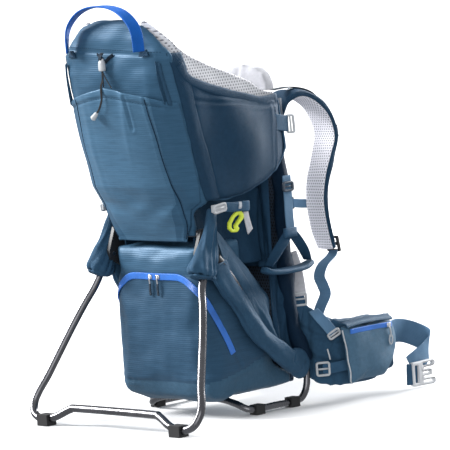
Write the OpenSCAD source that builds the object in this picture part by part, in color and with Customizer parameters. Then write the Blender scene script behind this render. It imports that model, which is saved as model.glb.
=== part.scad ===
// Child carrier backpack: a tube frame with a folding kickstand, a seat pod for a child with side
// panels and a head rest, a lower bag, a back pad, shoulder straps and a padded hip belt.
// +X is the wearer's right, +Y is towards the wearer, +Z is up, and the ground is z = 0.

/* [Frame] */
// Distance between the side tubes, centre to centre
frame_w = 250; // [240:1:260]
// Outside diameter of the frame tubes
tube_d = 12; // [10:0.5:13]
// Outside diameter of the kickstand tube
kick_d = 14; // [12:0.5:15]
// Height of the kickstand pivots above the ground
pivot_z = 285; // [280:1:290]
// Distance of the kickstand pivots behind the origin
pivot_back = 175; // [172:1:178]
// Diameter of the pivot pins
pin_d = 8; // [6:0.5:9]
// Radial running clearance of the pivots
pin_gap = 0.05; // [0.02:0.01:0.10]

/* [Seat pod] */
// Half width of the seat pod over its side panels
pod_half = 133; // [131:1:135]
// Height of the top of the head rest
head_top = 697; // [680:1:700]
// Thickness of the padded rear shell
shell_t = 9; // [7:1:12]
// Height of the child seat's top face at its lowest setting
seat_z = 330; // [328:1:334]

/* [Lower bag] */
// Half width of the lower bag
bag_half = 114; // [108:1:115]
// Height of the bag's zipped seam
bag_top = 251; // [248:1:252]

/* [Straps] */
// Width of a padded shoulder strap
strap_w = 58; // [50:1:60]
// Thickness of a padded shoulder strap
strap_t = 15; // [12:1:16]
// Width of the hip belt webbing
belt_w = 42; // [38:1:44]
// Width of the narrow adjusting webbing
web_w = 20; // [15:1:22]

/* [Hidden] */
$fn = 48;

tube_r = tube_d / 2;
kick_r = kick_d / 2;
side_x = frame_w / 2;
seam_gap = 0.5;                        // gap left between neighbouring soft solids
pivot = [side_x, -pivot_back, pivot_z];

// Kickstand: it lies in one plane through the pivots, so a point is given by its x and z.
kick_slope = 0.49;
kick_start = [127, 272];
function kick_point(x, z) = [x, -180 - kick_slope * (kick_start[1] - z), z];
kick_half = [
  kick_start, [133, 235], [149, 200], [165, 160], [179, 120], [193, 80], [204, 56],
  [208, 38], [201, 20], [184, 12], [164, 11], [140, 17], [112, 29], [88, 31.5]
];
kick_path = both_ends([for (p = kick_half) kick_point(p[0], p[1])]);

// Base loop: down the right side, back along the ground and across under the bag.
base_half = [
  [124, 47, 62], [125, 44, 34], [125, 34, 16], [125, 16, 9], [125, -40, 9], [125, -84, 9],
  [118, -99, 12], [98, -104, 20], [66, -104, 26], [30, -104, 27]
];
base_path = both_ends(base_half);
upright_path = [[124, 46.5, 63], [118, 38, 105], [112, 26, 160], [112, 24, 220], [112, 24, 400],
                [112, 24, 530]];
brace_path = [[125, -152, 279], [127, -132, 256], [130, -108, 220], [131, -86, 174], [131, -60, 136],
              [131, -28, 105], [130, 6, 80], [127, 33, 69]];

// Cord of the rear pocket's closure, a doubled elastic that hangs on the pocket.
cord_top = [-7, -261, 640];
cord_path = [cord_top, [-7, -261, 620], [-7, -261, 604], [-7, -262, 594], [-6, -267, 586], [-4, -270, 576],
             [-4, -270, 563], [-8, -270, 553], [-14, -269, 545], [-20, -268, 540]];

// ---- helpers ----
function mirrored(p) = [-p[0], p[1], p[2]];
function both_ends(half) = concat(half, [for (i = [len(half) - 1:-1:0]) mirrored(half[i])]);
function unit(v) = v / norm(v);
function clamp_index(i, n) = min(max(i, 0), n - 1);
function spline(a, b, c, d, t) =
  0.5 * (2 * b + (c - a) * t + (2 * a - 5 * b + 4 * c - d) * t * t + (3 * b - a - 3 * c + d) * t * t * t);
function smooth(p, steps) = let (n = len(p)) concat(
  [for (i = [0:n - 2], k = [0:steps - 1])
    spline(p[clamp_index(i - 1, n)], p[i], p[i + 1], p[clamp_index(i + 2, n)], k / steps)],
  [p[n - 1]]);
function tangent(p, i) = unit(p[clamp_index(i + 1, len(p))] - p[clamp_index(i - 1, len(p))]);
function quad(p, q, r, s) = [[p, q, r], [p, r, s]];

// Solid between two grids of points; the outside of grid a faces (along a row) x (up the rows).
module grid_solid(a, b) {
  rows = len(a);
  cols = len(a[0]);
  function ia(i, j) = i * cols + j;
  function ib(i, j) = rows * cols + i * cols + j;
  faces = concat(
    [for (i = [0:rows - 2], j = [0:cols - 2]) each concat(
      quad(ia(i, j), ia(i + 1, j), ia(i + 1, j + 1), ia(i, j + 1)),
      quad(ib(i, j), ib(i, j + 1), ib(i + 1, j + 1), ib(i + 1, j)))],
    [for (i = [0:rows - 2]) each concat(
      quad(ib(i, 0), ib(i + 1, 0), ia(i + 1, 0), ia(i, 0)),
      quad(ia(i, cols - 1), ia(i + 1, cols - 1), ib(i + 1, cols - 1), ib(i, cols - 1)))],
    [for (j = [0:cols - 2]) each concat(
      quad(ia(rows - 1, j), ib(rows - 1, j), ib(rows - 1, j + 1), ia(rows - 1, j + 1)),
      quad(ia(0, j), ia(0, j + 1), ib(0, j + 1), ib(0, j)))]);
  polyhedron(points = concat([for (row = a) each row], [for (row = b) each row]), faces = faces);
}

// Round tube along a path; no part of the path may run parallel to the reference direction.
module tube(path, r, sides = 12, ref = [0.3, -0.5, 0.81]) {
  n = len(path);
  points = [for (i = [0:n - 1])
    let (t = tangent(path, i), u = unit(cross(t, ref)), v = cross(t, u))
    for (k = [0:sides - 1]) path[i] + r * (cos(360 * k / sides) * u + sin(360 * k / sides) * v)];
  faces = concat(
    [[for (k = [0:sides - 1]) k]],
    [[for (k = [sides - 1:-1:0]) (n - 1) * sides + k]],
    [for (i = [0:n - 2], k = [0:sides - 1]) each quad(
      i * sides + k, (i + 1) * sides + k, (i + 1) * sides + (k + 1) % sides, i * sides + (k + 1) % sides)]);
  polyhedron(points = points, faces = faces);
}

// Flat band along a path: wide is the direction of its width at each end, fat the thickness of
// its middle and edge the thickness of its sides.
module band(path, width, fat, edge, wide_a = [1, 0, 0], wide_b = [1, 0, 0]) {
  n = len(path);
  function wide(i) = unit(wide_a + (wide_b - wide_a) * i / (n - 1));
  function out(i) = unit(cross(wide(i), tangent(path, i)));
  function row(i, side) = [for (s = [-1, -0.5, 0, 0.5, 1])
    path[i] + wide(i) * s * width / 2 + side * out(i) * (edge + (fat - edge) * (1 - s * s)) / 2];
  grid_solid([for (i = [0:n - 1]) row(i, 1)], [for (i = [0:n - 1]) row(i, -1)]);
}

// Outline in Y and Z, extruded from x0 to x1.
module side_plate(outline, x0, x1) {
  translate([x0, 0, 0]) rotate([90, 0, 90]) linear_extrude(x1 - x0) polygon(outline);
}

// Outline in X and Z, extruded from y0 to y1.
module face_plate(outline, y0, y1) {
  translate([0, y1, 0]) rotate([90, 0, 0]) linear_extrude(y1 - y0) polygon(outline);
}

// Cylinder that starts at a point and runs along a direction.
module rod(at, dir, r, length) {
  d = unit(dir);
  translate(at) rotate([0, acos(d[2]), atan2(d[1], d[0])]) cylinder(r = r, h = length);
}

// Flat ring buckle in the XZ plane, with a middle bar.
module ladder_lock(width, height, thickness) {
  bar = 4;
  rotate([90, 0, 0]) linear_extrude(thickness, center = true) difference() {
    square([width, height], center = true);
    for (s = [-1, 1]) translate([0, s * (height / 4 - bar / 8)])
      square([width - 2 * bar, height / 2 - 1.5 * bar], center = true);
  }
}

module both_sides() {
  children();
  mirror([1, 0, 0]) children();
}

// ---- tube frame ----
tube_steps = 4;
tube_sides = 16;
bracket_x = 105;
bracket_t = 7;
rear_tube = [bracket_x + bracket_t, -160, 321];   // right end of the tube between the brackets

module base_loop() {
  color("dimgray") tube(smooth(base_path, tube_steps), tube_r, tube_sides);
}
module upright() {
  color("dimgray") tube(smooth(upright_path, 3), tube_r);
}
module upright_right() {
  upright();
}
module upright_left() {
  mirror([1, 0, 0]) upright();
}
// The upper tube ties the uprights, the rear one ties the hinge brackets under the rear shell.
module cross_tubes() {
  top_inset = 106 - seam_gap;
  color("dimgray") {
    translate([-top_inset, 24, 524]) rotate([0, 90, 0]) cylinder(r = tube_r, h = 2 * top_inset);
    translate([-rear_tube[0], rear_tube[1], rear_tube[2]]) rotate([0, 90, 0])
      cylinder(r = tube_r, h = 2 * rear_tube[0]);
  }
}
module brace() {
  color("dimgray") tube(smooth(brace_path, 3), tube_r);
}
module brace_right() {
  brace();
}
module brace_left() {
  mirror([1, 0, 0]) brace();
}

// Plate beside the kickstand's knuckle, with the pin's bore, the rear cross tube's bore and a
// socket for the brace.
brace_dir = brace_path[1] - brace_path[0];
module hinge_bracket() {
  difference() {
    union() {
      side_plate([[-186, 276], [-186, 292], [-170, 331], [-150, 331], [-145, 294], [-144, 268], [-158, 262],
                  [-176, 272]], bracket_x, bracket_x + bracket_t);
      translate([bracket_x, pivot[1], pivot[2]]) rotate([0, 90, 0]) cylinder(r = 11, h = bracket_t);
      rod(brace_path[0] - 2 * unit(brace_dir), brace_dir, tube_r + 3, 20);
      side_plate([[-156, 286], [-146, 280], [-140, 264], [-150, 262]], bracket_x, 120);
    }
    translate([bracket_x - 1, pivot[1], pivot[2]]) rotate([0, 90, 0])
      cylinder(r = pin_d / 2, h = bracket_t + 2);
    translate([bracket_x - 1, rear_tube[1], rear_tube[2]]) rotate([0, 90, 0])
      cylinder(r = tube_r, h = bracket_t + 2);
    rod(brace_path[0], brace_dir, tube_r + 0.2, 30);
  }
}
module hinge_brackets() {
  color("#30343a") both_sides() hinge_bracket();
}

// Headed pins, pressed into the brackets; the kickstand's knuckles turn on them.
module pivot_pin() {
  head_x = pivot[0] + 11;
  translate([bracket_x, pivot[1], pivot[2]]) rotate([0, 90, 0])
    cylinder(r = pin_d / 2, h = head_x - bracket_x);
  translate([head_x, pivot[1], pivot[2]]) rotate([0, 90, 0]) cylinder(r = 7, h = 2.5);
}
module pivot_pins() {
  color("silver") both_sides() pivot_pin();
}

// Rubber shoes under the base loop, flat underneath, two on each side.
shoe_y = [6, -80];
module base_feet() {
  color("#1a1a1c") both_sides() for (y = shoe_y) difference() {
    translate([side_x - 9, y - 10, 0]) cube([18, 20, 17]);
    tube(smooth(base_half, tube_steps), tube_r + 0.4);
  }
}

// ---- kickstand ----
kick_ref = [0, 0.9, -0.44];
leg_dir = kick_point(133, 235) - pivot;

module kickstand() {
  color("gray") tube(smooth(kick_path, tube_steps), kick_r, tube_sides, kick_ref);
}
// Where the tube goes through its knuckles and shoes.
module leg_bore() {
  half_path = [for (p = kick_half) kick_point(p[0], p[1])];
  tube(smooth(half_path, tube_steps), kick_r + 0.3, tube_sides, kick_ref);
}
module kickstand_knuckle() {
  knuckle_x = bracket_x + bracket_t + 0.5;
  difference() {
    union() {
      translate([knuckle_x, pivot[1], pivot[2]]) rotate([0, 90, 0]) cylinder(r = 10.5, h = 22.5);
      rod(pivot + 6 * unit(leg_dir), leg_dir, kick_r + 2.5, 28);
    }
    translate([knuckle_x - 1, pivot[1], pivot[2]]) rotate([0, 90, 0])
      cylinder(r = pin_d / 2 + pin_gap, h = 26);
    leg_bore();
  }
}
module kickstand_knuckles() {
  color("#202226") both_sides() kickstand_knuckle();
}
module kickstand_feet() {
  foot = kick_point(166, 11);
  color("#1a1a1c") both_sides() difference() {
    translate([foot[0] - 13, foot[1] - 11, 0]) cube([26, 22, 19.5]);
    leg_bore();
  }
}

// ---- seat pod ----
// Height, outside of the rear wall, outside of its side edges, and half width.
rear_rows = [
  [318, -178, -174, 98], [340, -184, -177, 103], [360, -190, -181, 106], [378, -196, -167, 130],
  [407, -213, -179, 132],
  [470, -231, -193, pod_half], [530, -245, -206, pod_half], [570, -251, -214, pod_half],
  [605, -253, -224, pod_half], [634, -252, -232, 131], [660, -249, -236, 108], [680, -245, -238, 82],
  [692, -241, -238, 55], [head_top, -238, -237, 24]
];
rear_cols = [
  [-1, 1], [-0.86, 0.35], [-0.66, 0.06], [-0.33, 0], [0, 0], [0.33, 0], [0.66, 0.06], [0.86, 0.35], [1, 1]
];
function rear_grid(offset) = [for (r = rear_rows)
  [for (c = rear_cols) [c[0] * r[3], r[1] + (r[2] - r[1]) * c[1] + offset, r[0]]]];

module rear_shell() {
  color("#24405f") grid_solid(rear_grid(0), rear_grid(shell_t));
}

// Pocket on the rear shell: it bulges in the middle, and its mouth is open at the top.
pocket_rows = [
  [316, -178, 82], [330, -181, 92], [360, -191, 96], [400, -210, 99], [440, -222, 101], [490, -236, 105],
  [530, -245, 108], [558, -249.5, 112]
];
pocket_cols = [-1, -0.85, -0.5, 0, 0.5, 0.85, 1];
function pocket_bulge(c, i) = (1 - pow(abs(c), 3)) * min(1, 0.25 + i / 3);
function pocket_row(i, base, bulge) = let (r = pocket_rows[i], last = i == len(pocket_rows) - 1)
  [for (c = pocket_cols) [c * r[2], r[1] - base - bulge * pocket_bulge(c, i),
    r[0] + (last ? 22 * (1 - abs(c)) : 0)]];
module rear_pocket() {
  color("#4f6f90") grid_solid(
    [for (i = [0:len(pocket_rows) - 1]) pocket_row(i, 4, 12)],
    [for (i = [0:len(pocket_rows) - 1]) pocket_row(i, 1, 11)]);
}

wing_outline = [
  [-217, 625], [-202, 560], [-193, 509], [-180, 468], [-168, 427], [-157, 374], [-125, 373], [-76, 381],
  [-33, 393], [0, 411], [18, 426], [28, 446], [28, 489], [25, 536], [14, 546], [-24, 541], [-61, 550],
  [-131, 570], [-177, 586], [-202, 600]
];
module wing() {
  color("#2b4a6e") side_plate([for (p = wing_outline) [p[0] + seam_gap, p[1]]], 121, pod_half + 2);
}
module wing_right() {
  wing();
}
module wing_left() {
  mirror([1, 0, 0]) wing();
}

// Spacer mesh lining that stands above the side panels.
rim_outline = [
  [-218, 646], [-200, 470], [-120, 410], [-20, 420], [15, 450], [15, 546], [-12, 546], [-16, 560],
  [-56, 577], [-125, 602], [-179, 624]
];
module mesh_rim() {
  color("gainsboro") both_sides() side_plate(rim_outline, 119 - 5, 120.5);
}

module head_cushion() {
  rows = [for (r = rear_rows) if (r[0] >= 470 && r[0] <= 680) r];
  function face(offset) = [for (r = rows) [for (c = rear_cols)
    [c[0] * min(r[3], 118) * 0.92, r[1] + (r[2] - r[1]) * c[1] * 0.5 + offset, r[0]]]];
  color("whitesmoke") grid_solid(face(shell_t + 13), face(shell_t + 27));
}

// Padded chin rest on the front edge of the pod; it lifts out.
module chin_pad() {
  color("gainsboro") face_plate([
    [-134, 549], [134, 549], [133, 566], [124, 582], [108, 594], [80, 600], [36, 597], [0, 592], [-36, 597],
    [-80, 600], [-108, 594], [-124, 582], [-133, 566]], -11, 14);
}

// Saddle seat: wide behind, narrow between the legs, with an upright pad in front of the child.
seat_t = 20;
module child_seat() {
  color("#1c2b3f") side_plate([[-12, 262], [31, 262], [31, 402], [6, 402], [-12, 380]], -48, 48);
  color("#1c2b3f") translate([0, 0, seat_z - seat_t]) linear_extrude(seat_t) polygon([
    [-78, -150], [78, -150], [78, -98], [64, -76], [38, -58], [34, 20], [-34, 20], [-38, -58], [-64, -76],
    [-78, -98]]);
}

// Two harness straps that come out under the head cushion and lie along the rear wall.
harness_path = [
  [38, -193, 424], [38, -185, 404], [36, -174, 380], [30, -164, 358], [17, -140, 341], [8, -120, 337]
];
module harness() {
  color("#22262c") both_sides() band(smooth(harness_path, 2), 24, 4, 3);
}
module harness_buckle() {
  color("darkgray") translate([-16, -116, seat_z + 1]) cube([32, 30, 10]);
}

// ---- lower bag ----
module lower_bag() {
  color("#42617f") side_plate([
    [-178, bag_top - 5], [-178, 54], [-172, 39], [-158, 31], [-118, 31], [-108, 36], [31, 36], [31, 58],
    [-14, 80], [-14, 200], [-40, 228], [-66, bag_top], [-172, bag_top]
  ], -bag_half, bag_half);
}
module bag_band() {
  color("#42617f") side_plate([
    [-178, bag_top + 1], [-178, 306], [-66, 306], [-66, bag_top + 1]
  ], -103, 103);
}
// Zipper tape along the seam between the bag and its upper band.
zip_z = bag_top - 3;
module bag_zipper() {
  color("royalblue") translate([-95, -181, zip_z - 6]) cube([190, 2.5, 12]);
}
module zip_slider() {
  translate([0, 0, zip_z]) {
    translate([5, -186, -4]) cube([9, 4.6, 8]);
    translate([8, -186, -22]) cube([3, 2.5, 20]);
  }
}
module zip_slider_right() {
  color("silver") zip_slider();
}
module zip_slider_left() {
  color("silver") mirror([1, 0, 0]) zip_slider();
}

// ---- fabric covers of the frame ----
// Cover over the hinge and the top of the kickstand's leg; open underneath and on its inner side.
cover_t = 3;
cover_x = 107;
module hinge_sleeve() {
  color("#2b4a6e") difference() {
    side_plate([[-208, 250], [-196, 300], [-172, 356], [-148, 358], [-132, 312], [-110, 264], [-105, 252]],
               cover_x, cover_x + 42);
    side_plate([[-208 + cover_t, 249], [-196 + cover_t, 300], [-172 + cover_t, 356 - cover_t],
                [-148 - cover_t, 358 - cover_t], [-132 - cover_t, 312], [-110 - cover_t, 264],
                [-104 - cover_t, 249]],
               cover_x - 1, cover_x + 42 - cover_t);
  }
}
module sleeve_right() {
  hinge_sleeve();
}
module sleeve_left() {
  mirror([1, 0, 0]) hinge_sleeve();
}
// Fabric sleeve round the lower part of the brace.
brace_cover_r = 14;
module brace_sleeve() {
  all = smooth(brace_path, 3);
  low = [for (i = [6:len(all) - 2]) all[i]];
  color("#2b4a6e") difference() {
    tube(low, brace_cover_r);
    tube(all, tube_r + 0.3);
  }
}
module brace_sleeve_right() {
  brace_sleeve();
}
module brace_sleeve_left() {
  mirror([1, 0, 0]) brace_sleeve();
}

// ---- back system ----
module back_panel() {
  color("#1d3350") face_plate([
    [-102, 36], [102, 36], [104, 180], [104, 500], [92, 545], [-92, 545], [-104, 500], [-104, 180]
  ], 32, 44);
}
module lumbar_pad() {
  color("slategray") face_plate([
    [-86, 100], [86, 100], [83, 190], [58, 222], [-58, 222], [-83, 190]
  ], 44 + seam_gap, 66);
}

strap_path = [[78, 52, 505], [80, 66, 528], [85, 95, 538], [89, 130, 524], [91, 158, 496], [92, 170, 457],
              [92, 158, 423], [92, 142, 385], [92, 135, 346], [94, 138, 301], [97, 147, 257]];
module shoulder_strap() {
  color("#26425f") band(smooth(strap_path, 3), strap_w, strap_t, 7, [1, 0, 0], [1, -0.2, 0]);
}
module shoulder_strap_right() {
  shoulder_strap();
}
module shoulder_strap_left() {
  mirror([1, 0, 0]) shoulder_strap();
}

// Webbing from the top of the back over each shoulder strap's outer face, to its buckle.
lifter_path = [[88, 48, 549], [88, 95, 549], [90, 138, 535], [92, 169, 500], [92, 182, 466]];
module load_lifters() {
  color("#22262c") both_sides() band(smooth(lifter_path, 3), 15, 2, 2);
}
module lifter_buckles() {
  color("#1a1a1c") both_sides() translate([92, 185.6, 463]) rotate([6, 0, 0]) ladder_lock(24, 22, 5);
}

// Adjusting webbing from the foot of each shoulder strap down to the hip belt.
lower_web_path = [[101, 160, 250], [104, 140, 237], [109, 115, 220], [110, 108, 197], [110, 111, 178]];
module lower_webbing() {
  color("#5d7f9f") both_sides() band(smooth(lower_web_path, 3), web_w, 2, 2);
}
module ladder_locks() {
  color("#202226") both_sides() translate([99, 160, 266]) rotate([10, 0, 0]) ladder_lock(30, 28, 5);
}

sternum_z = 338;
module sternum_strap() {
  color("#33557a") translate([-62, 146, sternum_z - 8]) difference() {
    cube([124, 2, 16]);
    translate([43, -1, -1]) cube([38, 4, 18]);
  }
}
module sternum_buckle() {
  color("#202226") translate([-18.5, 144, sternum_z - 11]) cube([37, 8, 22]);
}

// ---- foot stirrups ----
// Webbing with a three-sided loop round a padded tread; the whole hangs from the side panel.
module stirrup() {
  inner_x = 121;
  outer_x = 157;
  color("#2f4f74") difference() {
    union() {
      side_plate([[6, 290], [26, 290], [26, 404], [6, 404]], 135, 143);
      side_plate([[4, 312], [-50, 254], [-54, 240], [-34, 234], [46, 234], [62, 240], [56, 254], [28, 312]],
                 inner_x, outer_x);
    }
    side_plate([
      [10, 296], [-30, 254], [-24, 248], [36, 248], [42, 254], [20, 296]
    ], inner_x - 1, outer_x + 1);
  }
}
module stirrup_right() {
  stirrup();
}
module stirrup_left() {
  mirror([1, 0, 0]) stirrup();
}

// Buckles of the side entries, under the rear of each side panel.
module side_entry_buckles() {
  color("silver") both_sides() translate([pod_half + 2.2, -166, 359]) cube([7, 28, 13]);
}

// Hook that hangs below the side panel on its webbing tab.
module safety_hook() {
  color("greenyellow") difference() {
    side_plate([
      [-109, 366], [-101, 366], [-100, 355], [-95, 350], [-96, 342], [-111, 331], [-107, 326], [-113, 320],
      [-125, 321], [-133, 328], [-132, 338], [-122, 349], [-109, 357]
    ], pod_half + 3, pod_half + 9);
    side_plate([
      [-107, 350], [-102, 346], [-119, 331], [-118, 326], [-123, 326], [-126, 330], [-125, 336], [-117, 345]
    ], pod_half + 2, pod_half + 10);
  }
}

// ---- hip belt ----
// Plan of the fin's middle, with the height of its lower and upper edge.
fin_rows = [
  [94.5, 57, 60, 182], [112, 63, 34, 176], [128, 74, 24, 162], [146, 95, 18, 150],
  [156, 130, 16, 146], [159, 170, 18, 146], [157, 206, 26, 144], [152, 234, 38, 138]
];
fin_t = 15;
function fin_out(i) = let (a = fin_rows[max(i - 1, 0)], b = fin_rows[min(i + 1, len(fin_rows) - 1)])
  unit([b[1] - a[1], a[0] - b[0], 0]);
function fin_row(i, side) = let (r = fin_rows[i]) [for (s = [0, 0.12, 0.5, 0.88, 1])
  [r[0], r[1], r[2] + (r[3] - r[2]) * s] + fin_out(i) * side * (4 + (fin_t / 2 - 4) * sin(180 * s))];
module hip_fin() {
  color("#1f3854") grid_solid([for (i = [0:len(fin_rows) - 1]) fin_row(i, -1)],
                              [for (i = [0:len(fin_rows) - 1]) fin_row(i, 1)]);
}
module hip_fin_right() {
  hip_fin();
}
module hip_fin_left() {
  mirror([1, 0, 0]) hip_fin();
}

pocket_x = 168;
module hip_pocket() {
  color("#3f6184") hull() {
    side_plate([[86, 132], [100, 24], [190, 30], [212, 52], [222, 84], [214, 132]], pocket_x, pocket_x + 8);
    side_plate([
      [94, 126], [106, 34], [184, 40], [204, 60], [212, 86], [206, 126]
    ], pocket_x, pocket_x + 18);
  }
}
module hip_pocket_right() {
  hip_pocket();
}
module hip_pocket_left() {
  mirror([1, 0, 0]) hip_pocket();
}
module hip_slider() {
  color("silver") {
    translate([pocket_x + 18.3, 188, 116]) cube([5, 9, 8]);
    translate([pocket_x + 20.8, 190, 98]) cube([2.5, 3, 20]);
  }
}
module hip_slider_right() {
  hip_slider();
}
module hip_slider_left() {
  mirror([1, 0, 0]) hip_slider();
}

// Wide webbing that leaves the fin, curls outwards and comes back to its buckle.
belt_path = [[145, 238, 95], [140, 262, 98], [139, 286, 94], [147, 304, 86], [165, 311, 76], [181, 300, 66],
             [189, 280, 56], [191, 258, 46], [190, 242, 38]];
module belt_webbing() {
  color("#3d5c7c") band(smooth(belt_path, 3), belt_w, 2.4, 2.4, [0, 0.1, 1], [0, 0.25, 1]);
}
module belt_webbing_right() {
  belt_webbing();
}
module belt_webbing_left() {
  mirror([1, 0, 0]) belt_webbing();
}
// Side release buckle: the trident on the right, its socket on the left.
buckle_x = 193;
// Openings in its base and prongs: y, z, width, height.
male_windows = [[241, 9, 11, 31], [263, 6.5, 25, 5], [263, 22.5, 18, 4], [263, 37.5, 25, 5]];
module buckle_male() {
  color("lightgray") difference() {
    side_plate([
      [236, 3], [258, 3], [288, 2], [295, 5], [295, 12], [288, 15], [267, 15], [264, 19], [286, 19],
      [286, 30], [264, 30], [267, 34], [288, 34], [295, 37], [295, 44], [288, 47], [258, 46], [236, 46]
    ], buckle_x, buckle_x + 8);
    for (w = male_windows) translate([buckle_x - 1, w[0], w[1]]) cube([10, w[2], w[3]]);
  }
}
module buckle_female() {
  color("lightgray") mirror([1, 0, 0]) difference() {
    translate([buckle_x, 236, 3]) cube([12, 52, 43]);
    translate([buckle_x + 2.5, 250, 7]) cube([7, 60, 35]);
  }
}

// ---- rear closure and handle ----
handle_y = -263;
handle_half = [[90, 642], [87, 672], [76, 692], [52, 710], [20, 719]];
handle_path = concat([for (p = handle_half) [p[0], handle_y, p[1]]],
                     [for (i = [4:-1:0]) [-handle_half[i][0], handle_y, handle_half[i][1]]]);
module grab_handle() {
  color("royalblue") band(smooth(handle_path, 4), 18, 3, 3, [0, 1, 0], [0, 1, 0]);
}
module pocket_cord() {
  color("#202226") tube(smooth(cord_path, 2), 2, 8, [0, 1, 0]);
}
// Upright cylinder on the straight part of the cord.
module cord_post(z, r, length) {
  translate([cord_top[0], cord_top[1], z]) cylinder(r = r, h = length);
}
module cord_lock() {
  color("lightgray") difference() {
    cord_post(610, 6, 17);
    cord_post(620, 4, 8);
    cord_post(600, 2.3, 40);
  }
}
module cord_lock_button() {
  color("gray") difference() {
    cord_post(623.5, 3.9, 8);
    cord_post(600, 2.3, 40);
  }
}
module cord_end() {
  color("lightgray") rod(cord_path[len(cord_path) - 1], [-0.75, 0, -0.65], 5, 16);
}

base_loop();
upright_right();
upright_left();
cross_tubes();
brace_right();
brace_left();
hinge_brackets();
pivot_pins();
base_feet();
kickstand();
kickstand_knuckles();
kickstand_feet();
rear_shell();
rear_pocket();
wing_right();
wing_left();
mesh_rim();
head_cushion();
chin_pad();
child_seat();
harness();
harness_buckle();
lower_bag();
bag_band();
bag_zipper();
zip_slider_right();
zip_slider_left();
sleeve_right();
sleeve_left();
brace_sleeve_right();
brace_sleeve_left();
back_panel();
lumbar_pad();
shoulder_strap_right();
shoulder_strap_left();
load_lifters();
lifter_buckles();
lower_webbing();
ladder_locks();
sternum_strap();
sternum_buckle();
stirrup_right();
stirrup_left();
side_entry_buckles();
hip_fin_right();
hip_fin_left();
hip_pocket_right();
hip_pocket_left();
hip_slider_right();
hip_slider_left();
belt_webbing_right();
belt_webbing_left();
buckle_male();
buckle_female();
grab_handle();
pocket_cord();
cord_lock();
cord_lock_button();
cord_end();
safety_hook();
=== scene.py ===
import math

import bpy
import bmesh
import numpy as np
from mathutils import Matrix, Vector, noise
from mathutils.bvhtree import BVHTree


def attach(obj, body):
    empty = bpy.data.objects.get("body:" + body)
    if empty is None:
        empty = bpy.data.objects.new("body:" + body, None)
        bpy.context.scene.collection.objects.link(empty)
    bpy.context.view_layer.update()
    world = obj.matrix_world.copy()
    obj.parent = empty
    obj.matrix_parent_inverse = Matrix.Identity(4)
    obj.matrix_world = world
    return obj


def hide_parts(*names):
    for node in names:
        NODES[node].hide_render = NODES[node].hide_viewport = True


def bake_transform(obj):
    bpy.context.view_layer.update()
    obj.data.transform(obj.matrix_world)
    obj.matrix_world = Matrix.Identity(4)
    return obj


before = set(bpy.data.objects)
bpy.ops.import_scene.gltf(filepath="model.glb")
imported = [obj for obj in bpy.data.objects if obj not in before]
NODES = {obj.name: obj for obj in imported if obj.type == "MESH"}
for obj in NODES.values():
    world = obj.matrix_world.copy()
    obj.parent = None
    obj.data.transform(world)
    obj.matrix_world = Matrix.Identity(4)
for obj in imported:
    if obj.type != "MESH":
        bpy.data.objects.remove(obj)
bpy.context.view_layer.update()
MM = 0.001          # the helpers below take millimetres

# The camera: its direction in degrees, what it looks at and how far away it stands, in metres.
AZIMUTH, ELEVATION, ROLL = 46, 5.6, 4.14
AIM, DISTANCE, LENS = (0, -0.005, 0.3165), 6.5, 296.9

CLOTH_FRAMES, QUICK_SWELL = 20, 0.7


# ---------------------------------------------------------------- camera and light
def make_camera():
    az, el, roll = (math.radians(a) for a in (AZIMUTH, ELEVATION, ROLL))
    right = Vector((math.cos(az), math.sin(az), 0))
    back = Vector((math.sin(az) * math.cos(el), -math.cos(az) * math.cos(el), math.sin(el)))
    up = back.cross(right)
    side = math.cos(roll) * right - math.sin(roll) * up
    top = math.sin(roll) * right + math.cos(roll) * up
    at = Vector(AIM) + DISTANCE * back
    data = bpy.data.cameras.new("camera")
    data.lens, data.sensor_width = LENS, 36
    data.clip_start, data.clip_end = 0.5, 400
    cam = bpy.data.objects.new("camera", data)
    bpy.context.scene.collection.objects.link(cam)
    cam.matrix_world = Matrix(((side.x, top.x, back.x, at.x), (side.y, top.y, back.y, at.y),
        (side.z, top.z, back.z, at.z), (0, 0, 0, 1)))
    bpy.context.scene.camera = cam


def sun(name, towards, energy, angle):
    """A soft sun that shines from the given direction; angle is its width in degrees."""
    data = bpy.data.lights.new(name, "SUN")
    data.energy, data.angle = energy, math.radians(angle)
    o = bpy.data.objects.new(name, data)
    o.location = towards
    o.rotation_euler = (-Vector(towards)).to_track_quat("-Z", "Y").to_euler()
    bpy.context.scene.collection.objects.link(o)


make_camera()
sun("key", (-2.0, -1.15, 1.35), 6.0, 22)
sun("fill", (0.05, 1.3, 0.55), 5.5, 30)
sun("front", (1.2, -1.6, 0.5), 1.0, 40)
world = bpy.data.worlds.new("world")
world.use_nodes = True
background = world.node_tree.nodes["Background"].inputs
background[0].default_value, background[1].default_value = (0.93, 0.96, 1, 1), 0.62
bpy.context.scene.world = world
bpy.context.scene.view_settings.view_transform = "Standard"


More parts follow.
